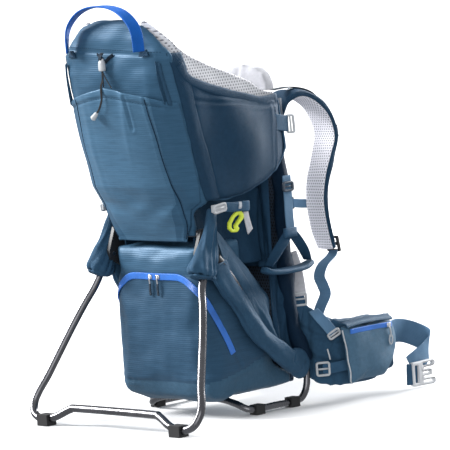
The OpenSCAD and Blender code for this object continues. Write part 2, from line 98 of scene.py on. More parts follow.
# ---------------------------------------------------------------- material helpers
class Shade:
    """A Principled material with a few shortcuts for building its nodes."""

    def __init__(self, name, rough=0.6, metal=0.0, sheen=0.0, spec=0.5, tint=(1, 1, 1)):
        self.mat = bpy.data.materials.new(name)
        self.mat.use_nodes = True
        self.tree = self.mat.node_tree
        self.bsdf = self.tree.nodes["Principled BSDF"]
        for key, value in (("Roughness", rough), ("Metallic", metal), ("Sheen Weight", sheen),
                           ("Sheen Roughness", 0.45), ("Specular IOR Level", spec), ("Specular Tint",
                           (*tint, 1))):
            self.bsdf.inputs[key].default_value = value
        self.coords = self.tree.nodes.new("ShaderNodeTexCoord").outputs["Object"]

    def put(self, socket, value):
        if isinstance(value, (int, float, tuple)):
            socket.default_value = value
        else:
            self.tree.links.new(value, socket)

    def math(self, how, a, b=0.0, c=None):
        n = self.tree.nodes.new("ShaderNodeMath")
        n.operation = how
        self.put(n.inputs[0], a)
        self.put(n.inputs[1], b)
        if c is not None:
            self.put(n.inputs[2], c)
        return n.outputs[0]

    def split(self, vector=None):
        n = self.tree.nodes.new("ShaderNodeSeparateXYZ")
        self.tree.links.new(vector or self.coords, n.inputs[0])
        return n.outputs

    def uv(self):
        n = self.tree.nodes.new("ShaderNodeUVMap")
        n.uv_map = "strip"
        return self.split(n.outputs[0])

    def wave(self, value, period):
        return self.math("SINE", self.math("MULTIPLY_ADD", value, 2 * math.pi / period, 0.0))

    def noise(self, scale, detail=3.0, stretch=None):
        n = self.tree.nodes.new("ShaderNodeTexNoise")
        n.inputs["Scale"].default_value = scale
        n.inputs["Detail"].default_value = detail
        source = self.coords
        if stretch:
            m = self.tree.nodes.new("ShaderNodeVectorMath")
            m.operation = "MULTIPLY"
            self.tree.links.new(source, m.inputs[0])
            m.inputs[1].default_value = stretch
            source = m.outputs[0]
        self.tree.links.new(source, n.inputs["Vector"])
        return n.outputs["Fac"]

    def ramp(self, factor, stops):
        n = self.tree.nodes.new("ShaderNodeValToRGB")
        while len(n.color_ramp.elements) < len(stops):
            n.color_ramp.elements.new(0.5)
        for e, (at, color) in zip(n.color_ramp.elements, stops):
            e.position, e.color = at, (*color, 1)
        self.tree.links.new(factor, n.inputs[0])
        return n.outputs[0]

    def color(self, socket):
        self.tree.links.new(socket, self.bsdf.inputs["Base Color"])

    def rough(self, factor, low, high):
        n = self.tree.nodes.new("ShaderNodeMapRange")
        self.tree.links.new(factor, n.inputs[0])
        n.inputs[3].default_value, n.inputs[4].default_value = low, high
        self.tree.links.new(n.outputs[0], self.bsdf.inputs["Roughness"])

    def bump(self, height, distance, strength=1.0, normal=None):
        n = self.tree.nodes.new("ShaderNodeBump")
        n.inputs["Strength"].default_value = strength
        n.inputs["Distance"].default_value = distance
        self.tree.links.new(height, n.inputs["Height"])
        if normal is not None:
            self.tree.links.new(normal, n.inputs["Normal"])
        self.tree.links.new(n.outputs[0], self.bsdf.inputs["Normal"])
        return n.outputs[0]


def scaled(color, k):
    return tuple(min(1.0, c * k) for c in color)


COOL = (0.30, 0.62, 1.0)     # tint of the highlights on cloth and webbing


def ribbed_fabric(name, color, period=0.0034, depth=0.00009, ribs=0.04, rough=0.44):
    """Ripstop-like cloth: fine level ribs, a finer weave across them, and slow colour variation."""
    s = Shade(name, rough=rough, spec=0.36, tint=COOL)
    x, y, z = s.split()
    wobble = s.noise(14, 2)
    level = s.math("MULTIPLY_ADD", wobble, 0.004, z)
    rib = s.wave(level, period)
    around = s.math("ADD", x, y)
    warp = s.wave(around, 0.0016)
    streak = s.noise(30, 3, stretch=(1, 1, 9))
    slow = s.noise(5, 3)
    mix = s.math("MULTIPLY_ADD", rib, ribs, s.math("MULTIPLY_ADD", streak, 0.7,
        s.math("MULTIPLY", slow, 0.5)))
    mix = s.math("SUBTRACT", mix, 0.1)
    s.color(s.ramp(mix, [(0.15, scaled(color, 0.75)), (0.5, color), (0.85, scaled(color, 1.25))]))
    s.rough(streak, rough - 0.08, rough + 0.12)
    n = s.bump(s.math("MULTIPLY_ADD", warp, 0.25, rib), depth, 0.6)
    s.bump(s.noise(28, 4), 0.0025, 0.35, n)
    return s.mat


def plain_fabric(name, color, rough=0.5, sheen=0.0, grain=0.0011):
    """Closely woven cloth: two crossing threads with creases and slow colour variation."""
    s = Shade(name, rough=rough, sheen=sheen, spec=0.2, tint=COOL)
    x, y, z = s.split()
    warp = s.wave(s.math("ADD", x, y), grain)
    weft = s.wave(z, grain)
    weave = s.math("MULTIPLY", warp, weft)
    slow = s.noise(9, 4)
    fine = s.noise(160, 3)
    mix = s.math("MULTIPLY_ADD", weave, 0.1, s.math("MULTIPLY_ADD", fine, 0.45,
        s.math("MULTIPLY", slow, 0.55)))
    s.color(s.ramp(mix, [(0.2, scaled(color, 0.7)), (0.5, color), (0.85, scaled(color, 1.3))]))
    s.rough(slow, rough - 0.07, rough + 0.1)
    n = s.bump(weave, 0.0003, 0.5)
    s.bump(s.noise(40, 4), 0.002, 0.3, n)
    return s.mat


def spacer_mesh(name, color, hole, plane="xz", pitch=0.0062, size=0.30):
    """Knitted spacer mesh: staggered rows of round holes. plane says which two directions it lies in."""
    s = Shade(name, rough=0.8, sheen=0.3, spec=0.2)
    if plane == "uv":
        a, b, _ = s.uv()
    else:
        x, y, z = s.split()
        a, b = {"xz": (x, z), "yz": (y, z)}[plane]
    row = pitch * 0.87

    def dot(shift_a, shift_b):
        u = s.math("PINGPONG", s.math("ADD", a, shift_a), pitch / 2)
        v = s.math("PINGPONG", s.math("ADD", b, shift_b), row)
        u = s.math("DIVIDE", u, pitch)
        v = s.math("DIVIDE", v, pitch)
        return s.math("SQRT", s.math("ADD", s.math("MULTIPLY", u, u), s.math("MULTIPLY", v, v)))

    near = s.math("MINIMUM", dot(10 * pitch, 20 * row), dot(10.5 * pitch, 21 * row))
    fine = s.noise(500, 2)
    edge = s.math("MULTIPLY_ADD", fine, 0.06, near)
    s.color(s.ramp(edge, [(size - 0.10, hole), (size + 0.03, scaled(color, 0.86)), (0.62, color)]))
    cloth = s.bump(edge, 0.0012, 0.7)
    s.bump(s.noise(45, 3), 0.0015, 0.25, cloth)
    return s.mat


def webbing(name, color, period=0.0021, rough=0.6):
    """Woven webbing: ribs across its length and a fine twill."""
    s = Shade(name, rough=rough, spec=0.3, tint=COOL)
    a, b, _ = s.uv()
    rib = s.wave(b, period)
    twill = s.wave(s.math("ADD", a, b), period * 1.7)
    slow = s.noise(25, 3)
    mix = s.math("MULTIPLY_ADD", rib, 0.15, s.math("MULTIPLY_ADD", twill, 0.1, slow))
    s.color(s.ramp(mix, [(0.2, scaled(color, 0.72)), (0.5, color), (0.85, scaled(color, 1.3))]))
    s.bump(s.math("MULTIPLY_ADD", twill, 0.4, rib), 0.0004, 0.7)
    return s.mat


def moulded(name, color, rough=0.45, metal=0.0, grain=900, depth=0.00008):
    """Moulded plastic or painted metal with a fine grain and slight wear."""
    s = Shade(name, rough=rough, metal=metal)
    slow = s.noise(30, 4)
    fine = s.noise(grain, 2)
    s.color(s.ramp(slow, [(0.3, scaled(color, 0.82)), (0.55, color), (0.8, scaled(color, 1.18))]))
    s.rough(s.math("MULTIPLY_ADD", fine, 0.5, s.math("MULTIPLY", slow, 0.5)), rough - 0.08, rough + 0.14)
    s.bump(fine, depth, 0.6)
    return s.mat


def brushed(name, color, rough):
    """Drawn aluminium tube: fine lines along it, faint handling marks."""
    s = Shade(name, rough=rough, metal=1.0)
    a, b, _ = s.uv()
    lines = s.noise(350, 2, stretch=(1, 1, 0.2))
    marks = s.noise(18, 4)
    s.color(s.ramp(marks, [(0.3, scaled(color, 0.75)), (0.55, color), (0.8, scaled(color, 1.25))]))
    s.rough(s.math("MULTIPLY_ADD", lines, 0.5, s.math("MULTIPLY", marks, 0.5)), rough - 0.08, rough + 0.15)
    s.bump(s.math("MULTIPLY_ADD", s.wave(a, 0.0009), 0.2, lines), 0.00006, 0.4)
    return s.mat


def zip_teeth(name, color):
    """Coated zipper: smooth tape with a row of teeth showing through as fine cross ribs."""
    s = Shade(name, rough=0.42)
    a, b, _ = s.uv()
    teeth = s.wave(b, 0.0018)
    slow = s.noise(30, 3)
    s.color(s.ramp(s.math("MULTIPLY_ADD", teeth, 0.14, slow), [(0.25, scaled(color, 0.75)), (0.5, color),
        (0.8, scaled(color, 1.25))]))
    s.bump(teeth, 0.0003, 0.6)
    return s.mat


# Colours shared by several materials, then every material.
STEEL = (0.056, 0.127, 0.205)
# Navy cloth of the wings, the pod and the strap sides: a darker cloth than the rear, made darker still as
# painted shade.
NAVY_AND_PAINTED_SHADE = (0.015, 0.042, 0.080)
DEEP = (0.004, 0.012, 0.028)
LIGHT = (0.90, 0.90, 0.93)
BLUE = (0.030, 0.165, 0.60)
M = {"rib": ribbed_fabric("ribbed_steel_fabric", STEEL), "ribdark": ribbed_fabric("ribbed_navy_fabric",
    (0.035, 0.088, 0.150)), "ribdeep": ribbed_fabric("ribbed_deep_fabric", (0.026, 0.064, 0.112)),
    "navy": plain_fabric("navy_fabric", NAVY_AND_PAINTED_SHADE),
    "mid": plain_fabric("mid_blue_fabric", (0.030, 0.075, 0.132)),
    "pale": plain_fabric("steel_blue_fabric", (0.078, 0.152, 0.228)),
    "deep": plain_fabric("deep_navy_fabric", DEEP),
    "base": plain_fabric("base_blue_fabric", (0.046, 0.102, 0.162)),
    "soft": plain_fabric("light_grey_fabric", (0.50, 0.50, 0.53), rough=0.8, sheen=0.4),
    "mesh_yz": spacer_mesh("spacer_mesh_side", LIGHT, (0.22, 0.22, 0.25), "yz", pitch=0.006, size=0.27),
    "mesh_xz": spacer_mesh("spacer_mesh_back", (0.56, 0.56, 0.60), (0.10, 0.10, 0.12), "xz", pitch=0.006,
    size=0.27), "mesh_uv": spacer_mesh("spacer_mesh_strap", (0.95, 0.94, 1.0), (0.14, 0.14, 0.18), "uv",
    pitch=0.0056, size=0.27), "mesh_navy": spacer_mesh("spacer_mesh_navy", (0.05, 0.08, 0.13),
    (0.006, 0.01, 0.018), "xz"), "web": webbing("webbing_navy", (0.035, 0.085, 0.150)),
    "webblue": webbing("webbing_steel", (0.10, 0.19, 0.30)),
    "webblack": webbing("webbing_black", (0.012, 0.016, 0.024)),
    "webgrey": webbing("webbing_light", (0.45, 0.47, 0.5)), "handle": webbing("webbing_royal",
    (0.012, 0.118, 0.50), period=0.0016, rough=0.45), "pipe": plain_fabric("piping_light",
    (0.62, 0.64, 0.66), rough=0.7), "thread": plain_fabric("thread_dark", (0.01, 0.022, 0.045), rough=0.8),
    "tube": brushed("satin_aluminium", (0.135, 0.135, 0.145), 0.24), "rubber": moulded("rubber_black",
    (0.012, 0.012, 0.013), rough=0.75), "black": moulded("plastic_black", (0.016, 0.018, 0.022),
    rough=0.42), "grey": moulded("plastic_silver_grey", (0.50, 0.52, 0.54), rough=0.4),
    "dark": moulded("plastic_slate", (0.05, 0.07, 0.1), rough=0.42), "white": moulded("plastic_pale",
    (0.66, 0.67, 0.69), rough=0.38), "steel": moulded("steel_satin", (0.55, 0.55, 0.57), rough=0.25,
    metal=1.0), "lime": moulded("plastic_lime", (0.62, 0.72, 0.05), rough=0.4),
    "cord": moulded("cord_black", (0.012, 0.014, 0.018), rough=0.8, grain=1500, depth=0.0003),
    "zip": zip_teeth("zipper_royal", BLUE),}
floor_mat = Shade("floor_pale", rough=0.9, spec=0.1)
floor_mat.color(floor_mat.ramp(floor_mat.noise(3, 2), [(0.3, (0.86, 0.86, 0.86)), (0.7, (0.9, 0.9, 0.9))]))


# ---------------------------------------------------------------- mesh helpers
def curve(points, steps=6):
    """Catmull-Rom line through the points."""
    p = np.array(points, float)
    q = np.vstack([2 * p[0] - p[1], p, 2 * p[-1] - p[-2]])
    out = []
    for i in range(1, len(q) - 2):
        a, b, c, d = q[i - 1:i + 3]
        for t in np.arange(steps) / steps:
            out.append(0.5 * (2 * b + (c - a) * t + (2 * a - 5 * b + 4 * c - d) * t * t + (3 * b - a - 3
                * c + d) * t ** 3))
    out.append(p[-1])
    return np.array(out)


def unit(v):
    v = np.array(v, float)
    return v / max(np.linalg.norm(v), 1e-12)


def link(name, verts, faces, mat, uvs=None, mat2=None, second=None):
    """A mesh object in metres from points in mm. second is a list of face numbers that take mat2."""
    mesh = bpy.data.meshes.new(name)
    mesh.from_pydata([tuple(float(c) * MM for c in v) for v in verts], [],
        [tuple(int(i) for i in f) for f in faces])
    mesh.materials.append(mat)
    if mat2:
        mesh.materials.append(mat2)
        for i in second or []:
            mesh.polygons[i].material_index = 1
    mesh.polygons.foreach_set("use_smooth", [True] * len(mesh.polygons))
    if uvs is not None:
        layer = mesh.uv_layers.new(name="strip")
        loops = np.zeros(len(mesh.loops), np.int32)
        mesh.loops.foreach_get("vertex_index", loops)
        layer.data.foreach_set("uv", (np.array(uvs)[loops] * MM).astype(np.float32).ravel())
    mesh.update()
    o = bpy.data.objects.new(name, mesh)
    bpy.context.scene.collection.objects.link(o)
    bm = bmesh.new()
    bm.from_mesh(mesh)
    bmesh.ops.recalc_face_normals(bm, faces=bm.faces)
    bm.to_mesh(mesh)
    bm.free()
    return o


def sections(path, side):
    """Side and normal direction at each point of the path."""
    p = np.array(path, float)
    n = len(p)
    tangents = [unit(p[min(i + 1, n - 1)] - p[max(i - 1, 0)]) for i in range(n)]
    out = []
    if side is None:
        t0 = tangents[0]
        s = unit(np.cross(t0, [0, 0, 1] if abs(t0[2]) < 0.9 else [1, 0, 0]))
        for t in tangents:
            s = unit(s - t * np.dot(s, t))
            out.append((s, np.cross(t, s)))
        return out
    sides = np.array(side, float)
    if sides.ndim == 1:
        sides = np.array([sides, sides])
    at = np.linspace(0, len(sides) - 1, n)
    for i, t in enumerate(tangents):
        k = min(int(at[i]), len(sides) - 2)
        f = at[i] - k
        s = unit(sides[k] * (1 - f) + sides[k + 1] * f)
        s = unit(s - t * np.dot(s, t))
        out.append((s, np.cross(t, s)))
    return out


def sweep(name, path, section, mat, side=None, scale=None, mat2=None, pick=None):
    """Solid along a path. section lists (across, out) in mm; scale(t) gives (across, out) factors;
    pick(j) says whether the section's face j takes mat2."""
    p = np.array(path, float)
    dirs = sections(p, side)
    m, n = len(section), len(p)
    girth = [0.0]
    for j in range(1, m):
        girth.append(girth[-1] + math.dist(section[j - 1], section[j]))
    along, verts, uvs = 0.0, [], []
    for i in range(n):
        if i:
            along += np.linalg.norm(p[i] - p[i - 1])
        f = scale(i / (n - 1)) if scale else (1, 1)
        s, o = dirs[i]
        for j, (a, b) in enumerate(section):
            verts.append(p[i] + s * a * f[0] + o * b * f[1])
            uvs.append((a, along))
    faces, second = [], []
    for i in range(n - 1):
        for j in range(m):
            k = (j + 1) % m
            if mat2 and pick(j):
                second.append(len(faces))
            faces.append((i * m + j, i * m + k, (i + 1) * m + k, (i + 1) * m + j))
    faces.append(tuple(range(m))[::-1])
    faces.append(tuple((n - 1) * m + j for j in range(m)))
    return link(name, verts, faces, mat, uvs, mat2, second)


def circle(r, n=20):
    return [(r * math.cos(2 * math.pi * j / n), r * math.sin(2 * math.pi * j / n)) for j in range(n)]


def flat(w, t):
    """Section of a flat strap with rounded edges."""
    h, e = t / 2, w / 2 - t / 2
    out = []
    for j in range(6):
        a = -math.pi / 2 + math.pi * j / 5
        out.append((e + h * math.cos(a), h * math.sin(a)))
    out += [(e * k, h) for k in (0.9, 0.5, 0, -0.5, -0.9)]
    for j in range(6):
        a = math.pi / 2 + math.pi * j / 5
        out.append((-e + h * math.cos(a), h * math.sin(a)))
    out += [(e * k, -h) for k in (-0.9, -0.5, 0, 0.5, 0.9)]
    return out


def oval(w, t, n=28, power=0.55):
    """Section of a padded strap: flat in the middle with full, rounded edges."""
    out = []
    for j in range(n):
        a = 2 * math.pi * j / n
        c, s = math.cos(a), math.sin(a)
        out.append((w / 2 * math.copysign(abs(c) ** power, c), t / 2 * math.copysign(abs(s) ** power, s)))
    return out


def tube(name, path, r, mat, n=20, side=None):
    return sweep(name, path, circle(r, n), mat, side)


def panel(name, fn, nu, nv, thick, mat, mat2=None, pick=None):
    """A sheet of fabric. fn(u, v) takes grids from 0 to 1 and gives outer points in mm; thick lies behind."""
    u, v = np.meshgrid(np.linspace(0, 1, nu), np.linspace(0, 1, nv))
    out = np.stack(fn(u, v), -1).astype(float)
    du = np.gradient(out, axis=1)
    dv = np.gradient(out, axis=0)
    n = np.cross(du, dv)
    n /= np.maximum(np.linalg.norm(n, axis=-1, keepdims=True), 1e-9)
    inner = out - n * thick
    a = np.zeros((nv, nu))
    a[:, 1:] = np.cumsum(np.linalg.norm(out[:, 1:] - out[:, :-1], axis=-1), axis=1)
    b = np.zeros((nv, nu))
    b[1:] = np.cumsum(np.linalg.norm(out[1:] - out[:-1], axis=-1), axis=0)
    uv = np.stack([a, b], -1).reshape(-1, 2)
    k = nu * nv
    verts = list(out.reshape(-1, 3)) + list(inner.reshape(-1, 3))
    faces, second = [], []
    for i in range(nv - 1):
        for j in range(nu - 1):
            q = (i * nu + j, i * nu + j + 1, (i + 1) * nu + j + 1, (i + 1) * nu + j)
            if mat2 and pick(j / (nu - 1), i / (nv - 1)):
                second += [len(faces)]
            faces.append(q)
            faces.append(tuple(k + x for x in q[::-1]))
    rim = [j for j in range(nu)] + [i * nu + nu - 1 for i in range(1, nv)]
    rim += [(nv - 1) * nu + j for j in range(nu - 2, -1, -1)] + [i * nu for i in range(nv - 2, 0, -1)]
    for x, y in zip(rim, rim[1:] + rim[:1]):
        faces.append((y, x, k + x, k + y))
    return link(name, verts, faces, mat, list(uv) * 2, mat2, second)


def coords(o):
    co = np.zeros(len(o.data.vertices) * 3, np.float32)
    o.data.vertices.foreach_get("co", co)
    return co.reshape(-1, 3).astype(float)


def normals(o):
    o.data.update()
    n = np.zeros(len(o.data.vertices) * 3, np.float32)
    o.data.vertices.foreach_get("normal", n)
    return n.reshape(-1, 3).astype(float)


def set_coords(o, co):
    o.data.vertices.foreach_set("co", co.astype(np.float32).ravel())
    o.data.update()


def bake(o):
    """Applies the object's modifiers."""
    dg = bpy.context.evaluated_depsgraph_get()
    mesh = bpy.data.meshes.new_from_object(o.evaluated_get(dg))
    old = o.data
    o.modifiers.clear()
    o.data = mesh
    mesh.name = o.name
    bpy.data.meshes.remove(old)
    mesh.polygons.foreach_set("use_smooth", [True] * len(mesh.polygons))
    return o


def soft(name, nodes, voxel, mat, relax=4, shrink=0.0):
    """A remeshed, rounded copy of CAD solids, to be puffed up and sculpted."""
    bm = bmesh.new()
    for node in [nodes] if isinstance(nodes, str) else nodes:
        bm.from_mesh(NODES[node].data)
    bmesh.ops.remove_doubles(bm, verts=bm.verts, dist=1e-5)
    mesh = bpy.data.meshes.new(name)
    bm.to_mesh(mesh)
    bm.free()
    mesh.materials.clear()
    mesh.materials.append(mat)
    o = bpy.data.objects.new(name, mesh)
    bpy.context.scene.collection.objects.link(o)
    m = o.modifiers.new("voxels", "REMESH")
    m.mode, m.voxel_size = "VOXEL", voxel
    bake(o)
    if not o.data.materials:
        o.data.materials.append(mat)
    m = o.modifiers.new("relax", "SMOOTH")
    m.factor, m.iterations = 0.5, relax
    bake(o)
    if shrink:
        set_coords(o, coords(o) - normals(o) * shrink)
    return o


def puff(jobs):
    """Swells each (object, pressure, cap in metres) as cloth in one run, keeps what the cap allows."""
    before = {o.name: coords(o) for o, _, _ in jobs}
    for o, pressure, _ in jobs:
        m = o.modifiers.new("cloth", "CLOTH")
        c = m.settings
        c.quality, c.mass = 5, 0.3
        c.use_pressure, c.uniform_pressure_force = True, pressure
        c.effector_weights.gravity = 0
        c.tension_stiffness = c.compression_stiffness = c.shear_stiffness = 15
        c.bending_stiffness = 0.6
        m.point_cache.frame_start, m.point_cache.frame_end = 1, CLOTH_FRAMES
    for f in range(1, CLOTH_FRAMES + 1):
        bpy.context.scene.frame_set(f)
    for o, pressure, cap in jobs:
        was = before[o.name]
        now = coords(bake(o))
        move = now - was
        move -= move.mean(0)
        size = np.linalg.norm(move, axis=1, keepdims=True)
        set_coords(o, was + move * np.minimum(1, cap / np.maximum(size, 1e-9)))
    bpy.context.scene.frame_set(1)


def refine(o, levels=1, relax=2):
    m = o.modifiers.new("relax", "SMOOTH")
    m.factor, m.iterations = 0.4, relax
    m = o.modifiers.new("subdivide", "SUBSURF")
    m.levels = m.render_levels = levels
    return bake(o)


def distance(co, line):
    """Distance of each point to a polyline, all in metres."""
    best = np.full(len(co), 1e9)
    for a, b in zip(line[:-1], line[1:]):
        d = b - a
        t = np.clip(((co - a) @ d) / max(d @ d, 1e-12), 0, 1)
        best = np.minimum(best, np.linalg.norm(co - (a + t[:, None] * d), axis=1))
    return best


def groove(o, lines, depth=1.6, width=3.0, swell=0.0):
    """Presses seams into the piece. Lines are in mm and lie on or near its surface."""
    co, n = coords(o), normals(o)
    push = np.zeros(len(co))
    for line in lines:
        d = distance(co, np.array(line, float) * MM) / (width * MM)
        push += depth * MM * np.exp(-d * d) - swell * MM * np.exp(-((d - 2.6) ** 2))
    set_coords(o, co - n * push[:, None])
    return o


def creases(o, amount, scale, seed, stretch=(1, 1, 1)):
    """Soft folds in geometry: smooth noise along the normal."""
    co, n = coords(o), normals(o)
    off = np.array([noise.noise(Vector((c[0] * stretch[0] * scale + seed, c[1] * stretch[1] * scale + seed,
        c[2] * stretch[2] * scale))) for c in co])
    set_coords(o, co + n * (off * amount * MM)[:, None])
    return o


def shape(o, fn):
    """Moves points by fn(points in mm, normals) -> offsets in mm."""
    co = coords(o)
    set_coords(o, co + np.array(fn(co / MM, normals(o)), float) * MM)
    return o


def tree_of(*objects):
    verts, faces = [], []
    for o in objects:
        k = len(verts)
        verts += [v.co.copy() for v in o.data.vertices]
        faces += [tuple(k + i for i in p.vertices) for p in o.data.polygons]
    return BVHTree.FromPolygons(verts, faces)


def on_surface(points, tree, lift=0.0, steps=6):
    """The line laid on a surface, lift mm above it."""
    out = []
    for p in curve(points, steps):
        where, normal, _, _ = tree.find_nearest(Vector(p) * MM)
        out.append(np.array(where) / MM + np.array(normal) * lift)
    return np.array(out)


def seam(name, points, tree, mat, r=0.9, lift=0.2, steps=8):
    """Thin welt along a seam."""
    return tube(name, on_surface(points, tree, lift, steps), r, mat, n=8)


def stitches(name, points, tree, mat, length=3.4, gap=2.2, r=0.42, lift=0.15, dense=12):
    """A row of stitches: short threads laid on the surface."""
    line = on_surface(points, tree, lift, dense)
    step = np.linalg.norm(np.diff(line, axis=0), axis=1)
    at = np.concatenate([[0], np.cumsum(step)])
    verts, faces = [], []

    def place(s):
        return np.array([np.interp(s, at, line[:, k]) for k in range(3)])

    s = gap
    while s + length < at[-1]:
        a, c = place(s), place(s + length)
        b = (a + c) / 2
        where, normal, _, _ = tree.find_nearest(Vector(b) * MM)
        n = np.array(normal)
        t = unit(c - a)
        w = unit(np.cross(t, n))
        k = len(verts)
        for p, f in ((a, 0.4), (b, 1.0), (c, 0.4)):
            for q in range(6):
                ang = math.pi / 3 * q
                verts.append(p + w * r * f * math.cos(ang) + n * r * f * math.sin(ang))
        for i in range(2):
            for q in range(6):
                q2 = (q + 1) % 6
                faces.append((k + i * 6 + q, k + i * 6 + q2, k + i * 6 + 6 + q2, k + i * 6 + 6 + q))
        faces.append(tuple(k + q for q in range(6))[::-1])
        faces.append(tuple(k + 12 + q for q in range(6)))
        s += length + gap
    return link(name, verts, faces, mat)


def mirror(o, name):
    """The same piece on the left."""
    mesh = o.data.copy()
    mesh.name = name
    mesh.transform(Matrix.Diagonal((-1, 1, 1, 1)))
    mesh.flip_normals()
    mesh.update()
    twin = bpy.data.objects.new(name, mesh)
    bpy.context.scene.collection.objects.link(twin)
    return twin


def add(o, body, replaces=()):
    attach(o, body)
    if replaces:
        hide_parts(*([replaces] if isinstance(replaces, str) else replaces))
    return o


def pair(o, body, replaces=None):
    """Puts a right-hand piece and its left-hand twin on their bodies. {} becomes right or left."""
    twin = mirror(o, o.name.removesuffix("_right") + "_left")
    for piece, side in ((o, "right"), (twin, "left")):
        add(piece, body.format(side), replaces.format(side) if replaces else ())


def strap_pair(name, points, steps, section, mat, side, body):
    """A pair of swept straps; the points are the right-hand one's."""
    o = sweep(name, curve(points, steps), section, mat, side)
    pair(o, body)
    return o


def joined(name, parts):
    """Several meshes made into one piece."""
    bm = bmesh.new()
    mats = []
    for o in parts:
        base = len(bm.faces)
        bm.from_mesh(o.data)
        bm.faces.ensure_lookup_table()
        for f in bm.faces[base:]:
            m = o.data.materials[min(f.material_index, len(o.data.materials) - 1)]
            if m not in mats:
                mats.append(m)
            f.material_index = mats.index(m)
    mesh = bpy.data.meshes.new(name)
    bm.to_mesh(mesh)
    bm.free()
    for m in mats:
        mesh.materials.append(m)
    for o in parts:
        old = o.data
        bpy.data.objects.remove(o)
        bpy.data.meshes.remove(old)
    o = bpy.data.objects.new(name, mesh)
    bpy.context.scene.collection.objects.link(o)
    return o


def frame_buckle(name, center, turn, mat, w, h, t):
    """Ladder lock: a rounded frame with a cross bar. turn holds its across, up and out directions."""
    across, up, out = (unit(v) for v in turn)
    c = np.array(center, float)
    corner, bar = 3.0, 4
    loop = []
    for sx, sy, start in ((1, 1, 0), (-1, 1, 90), (-1, -1, 180), (1, -1, 270)):
        for k in range(5):
            ang = math.radians(start + 22.5 * k)
            loop.append(c + across * (sx * (w / 2 - bar / 2 - corner) + corner * math.cos(ang)) + up
                * (sy * (h / 2 - bar / 2 - corner) + corner * math.sin(ang)))
    section = [(bar / 2 * x, t / 2 * y) for x, y in ((1, 0.5), (0.6, 1), (-0.6, 1), (-1, 0.5), (-1, -0.5),
        (-0.6, -1), (0.6, -1), (1, -0.5))]
    p = np.array(loop)
    n = len(p)
    verts = []
    for i in range(n):
        tangent = unit(p[(i + 1) % n] - p[i - 1])
        s = unit(np.cross(tangent, out))
        verts += [p[i] + s * a + out * b for a, b in section]
    faces = [(i * 8 + j, i * 8 + (j + 1) % 8, ((i + 1) % n) * 8 + (j + 1) % 8,
        ((i + 1) % n) * 8 + j) for i in range(n) for j in range(8)]
    a, b = c - across * (w / 2 - bar), c + across * (w / 2 - bar)
    return joined(name, [link(name + "_ring", verts, faces, mat), sweep(name + "_bar",
        [a, (a + b) / 2 + out * 0.6, b], circle(bar * 0.42, 10), mat)])


def edged(node, mat, width=0.0008):
    """A CAD node that stays: its own material, and rounded edges."""
    o = NODES[node]
    o.data.materials.clear()
    o.data.materials.append(mat)
    if "custom_normal" in o.data.attributes:
        o.data.attributes.remove(o.data.attributes["custom_normal"])
    o.data.polygons.foreach_set("use_smooth", [True] * len(o.data.polygons))
    m = o.modifiers.new("weld", "WELD")
    m.merge_threshold = 0.00004
    if width:
        m = o.modifiers.new("bevel", "BEVEL")
        m.width, m.segments, m.limit_method, m.angle_limit = width, 2, "ANGLE", math.radians(38)
        m.use_clamp_overlap = True
        m = o.modifiers.new("weighted", "WEIGHTED_NORMAL")
        m.keep_sharp = False
    return o


bm = bmesh.new()
bmesh.ops.create_grid(bm, x_segments=8, y_segments=8, size=60)
floor_mesh = bpy.data.meshes.new("floor")
bm.to_mesh(floor_mesh)
bm.free()
floor_mesh.materials.append(floor_mat.mat)
floor = bpy.data.objects.new("floor", floor_mesh)
floor.location = (0, 0, -0.0005)
bpy.context.scene.collection.objects.link(floor)
floor.visible_diffuse = floor.visible_glossy = False

# ---------------------------------------------------------------- closure cord
CORD = [[-7, -261, 640], [-7, -261, 620], [-7, -261, 604], [-7, -262, 594], [-6, -267, 586],
    [-4, -270, 576], [-4, -270, 563], [-8, -270, 553], [-14, -269, 545], [-20, -268, 540]]
cord_line = curve(CORD, 6)
for k, dx in ((0, -1.15), (1, 1.15)):
    line = cord_line + [dx, 0, 0]
    o = tube("closure_cord_%d" % k, line, 1.0, M["cord"], n=12)
    add(o, "frame", "pocket_cord" if k == 0 else ())

# ---------------------------------------------------------------- rear shell and pocket
# Rear shell: height, rear face in the middle, face at the sides, half width. COLS says how far the face
# has turned from the middle (0) to the side (1) across the width.
ROWS = np.array([[318, -178, -174, 98], [340, -184, -177, 103], [360, -190, -181, 106],
    [378, -196, -167, 130], [407, -213, -179, 132], [470, -231, -193, 133], [530, -245, -206, 133],
    [570, -251, -214, 133], [605, -253, -224, 133], [634, -252, -232, 131], [660, -249, -236, 108],
    [680, -245, -238, 82], [692, -241, -238, 55], [697, -238, -237, 24]], float)
COLS = np.array([[-1, 1], [-0.86, 0.35], [-0.66, 0.06], [-0.33, 0], [0, 0], [0.33, 0], [0.66, 0.06],
    [0.86, 0.35], [1, 1]], float)


def shell_y(x, z):
    """Outside of the rear shell at x, z."""
    rear = np.interp(z, ROWS[:, 0], ROWS[:, 1])
    side = np.interp(z, ROWS[:, 0], ROWS[:, 2])
    half = np.interp(z, ROWS[:, 0], ROWS[:, 3])
    return rear + (side - rear) * np.interp(np.clip(x / half, -1, 1), COLS[:, 0], COLS[:, 1])


def bump2(x, z, cx, cz, wx, wz):
    return np.exp(-((x - cx) / wx) ** 2 - ((z - cz) / wz) ** 2)


shell = soft("rear_shell_fabric", "rear_shell", 0.0042, M["ribdark"], relax=3)
refine(shell, 1, 2)
shape(shell, lambda p, n: np.stack([0 * p[:, 0],
    np.where(n[:, 1] < -0.2, -1, 0) * (4.0 * bump2(p[:, 0], p[:, 2], 0, 668, 70, 22) + 2.0
    * bump2(p[:, 0], p[:, 2], 0, 605, 80, 20)), 0 * p[:, 0]], -1))
groove(shell, [[[x, shell_y(x, 640), 640 - 0.06 * x] for x in range(-126, 128, 12)]], 1.3, 2.6, 0.2)
creases(shell, 2.2, 26, 3.1, (1, 1, 1.6))
add(shell, "frame", "rear_shell")
shell_tree = tree_of(shell)
add(stitches("dome_stitches", [[x, shell_y(x, 645) - 3, 645.5 - 0.06 * x] for x in range(-120, 122, 20)],
    shell_tree, M["thread"]), "frame")


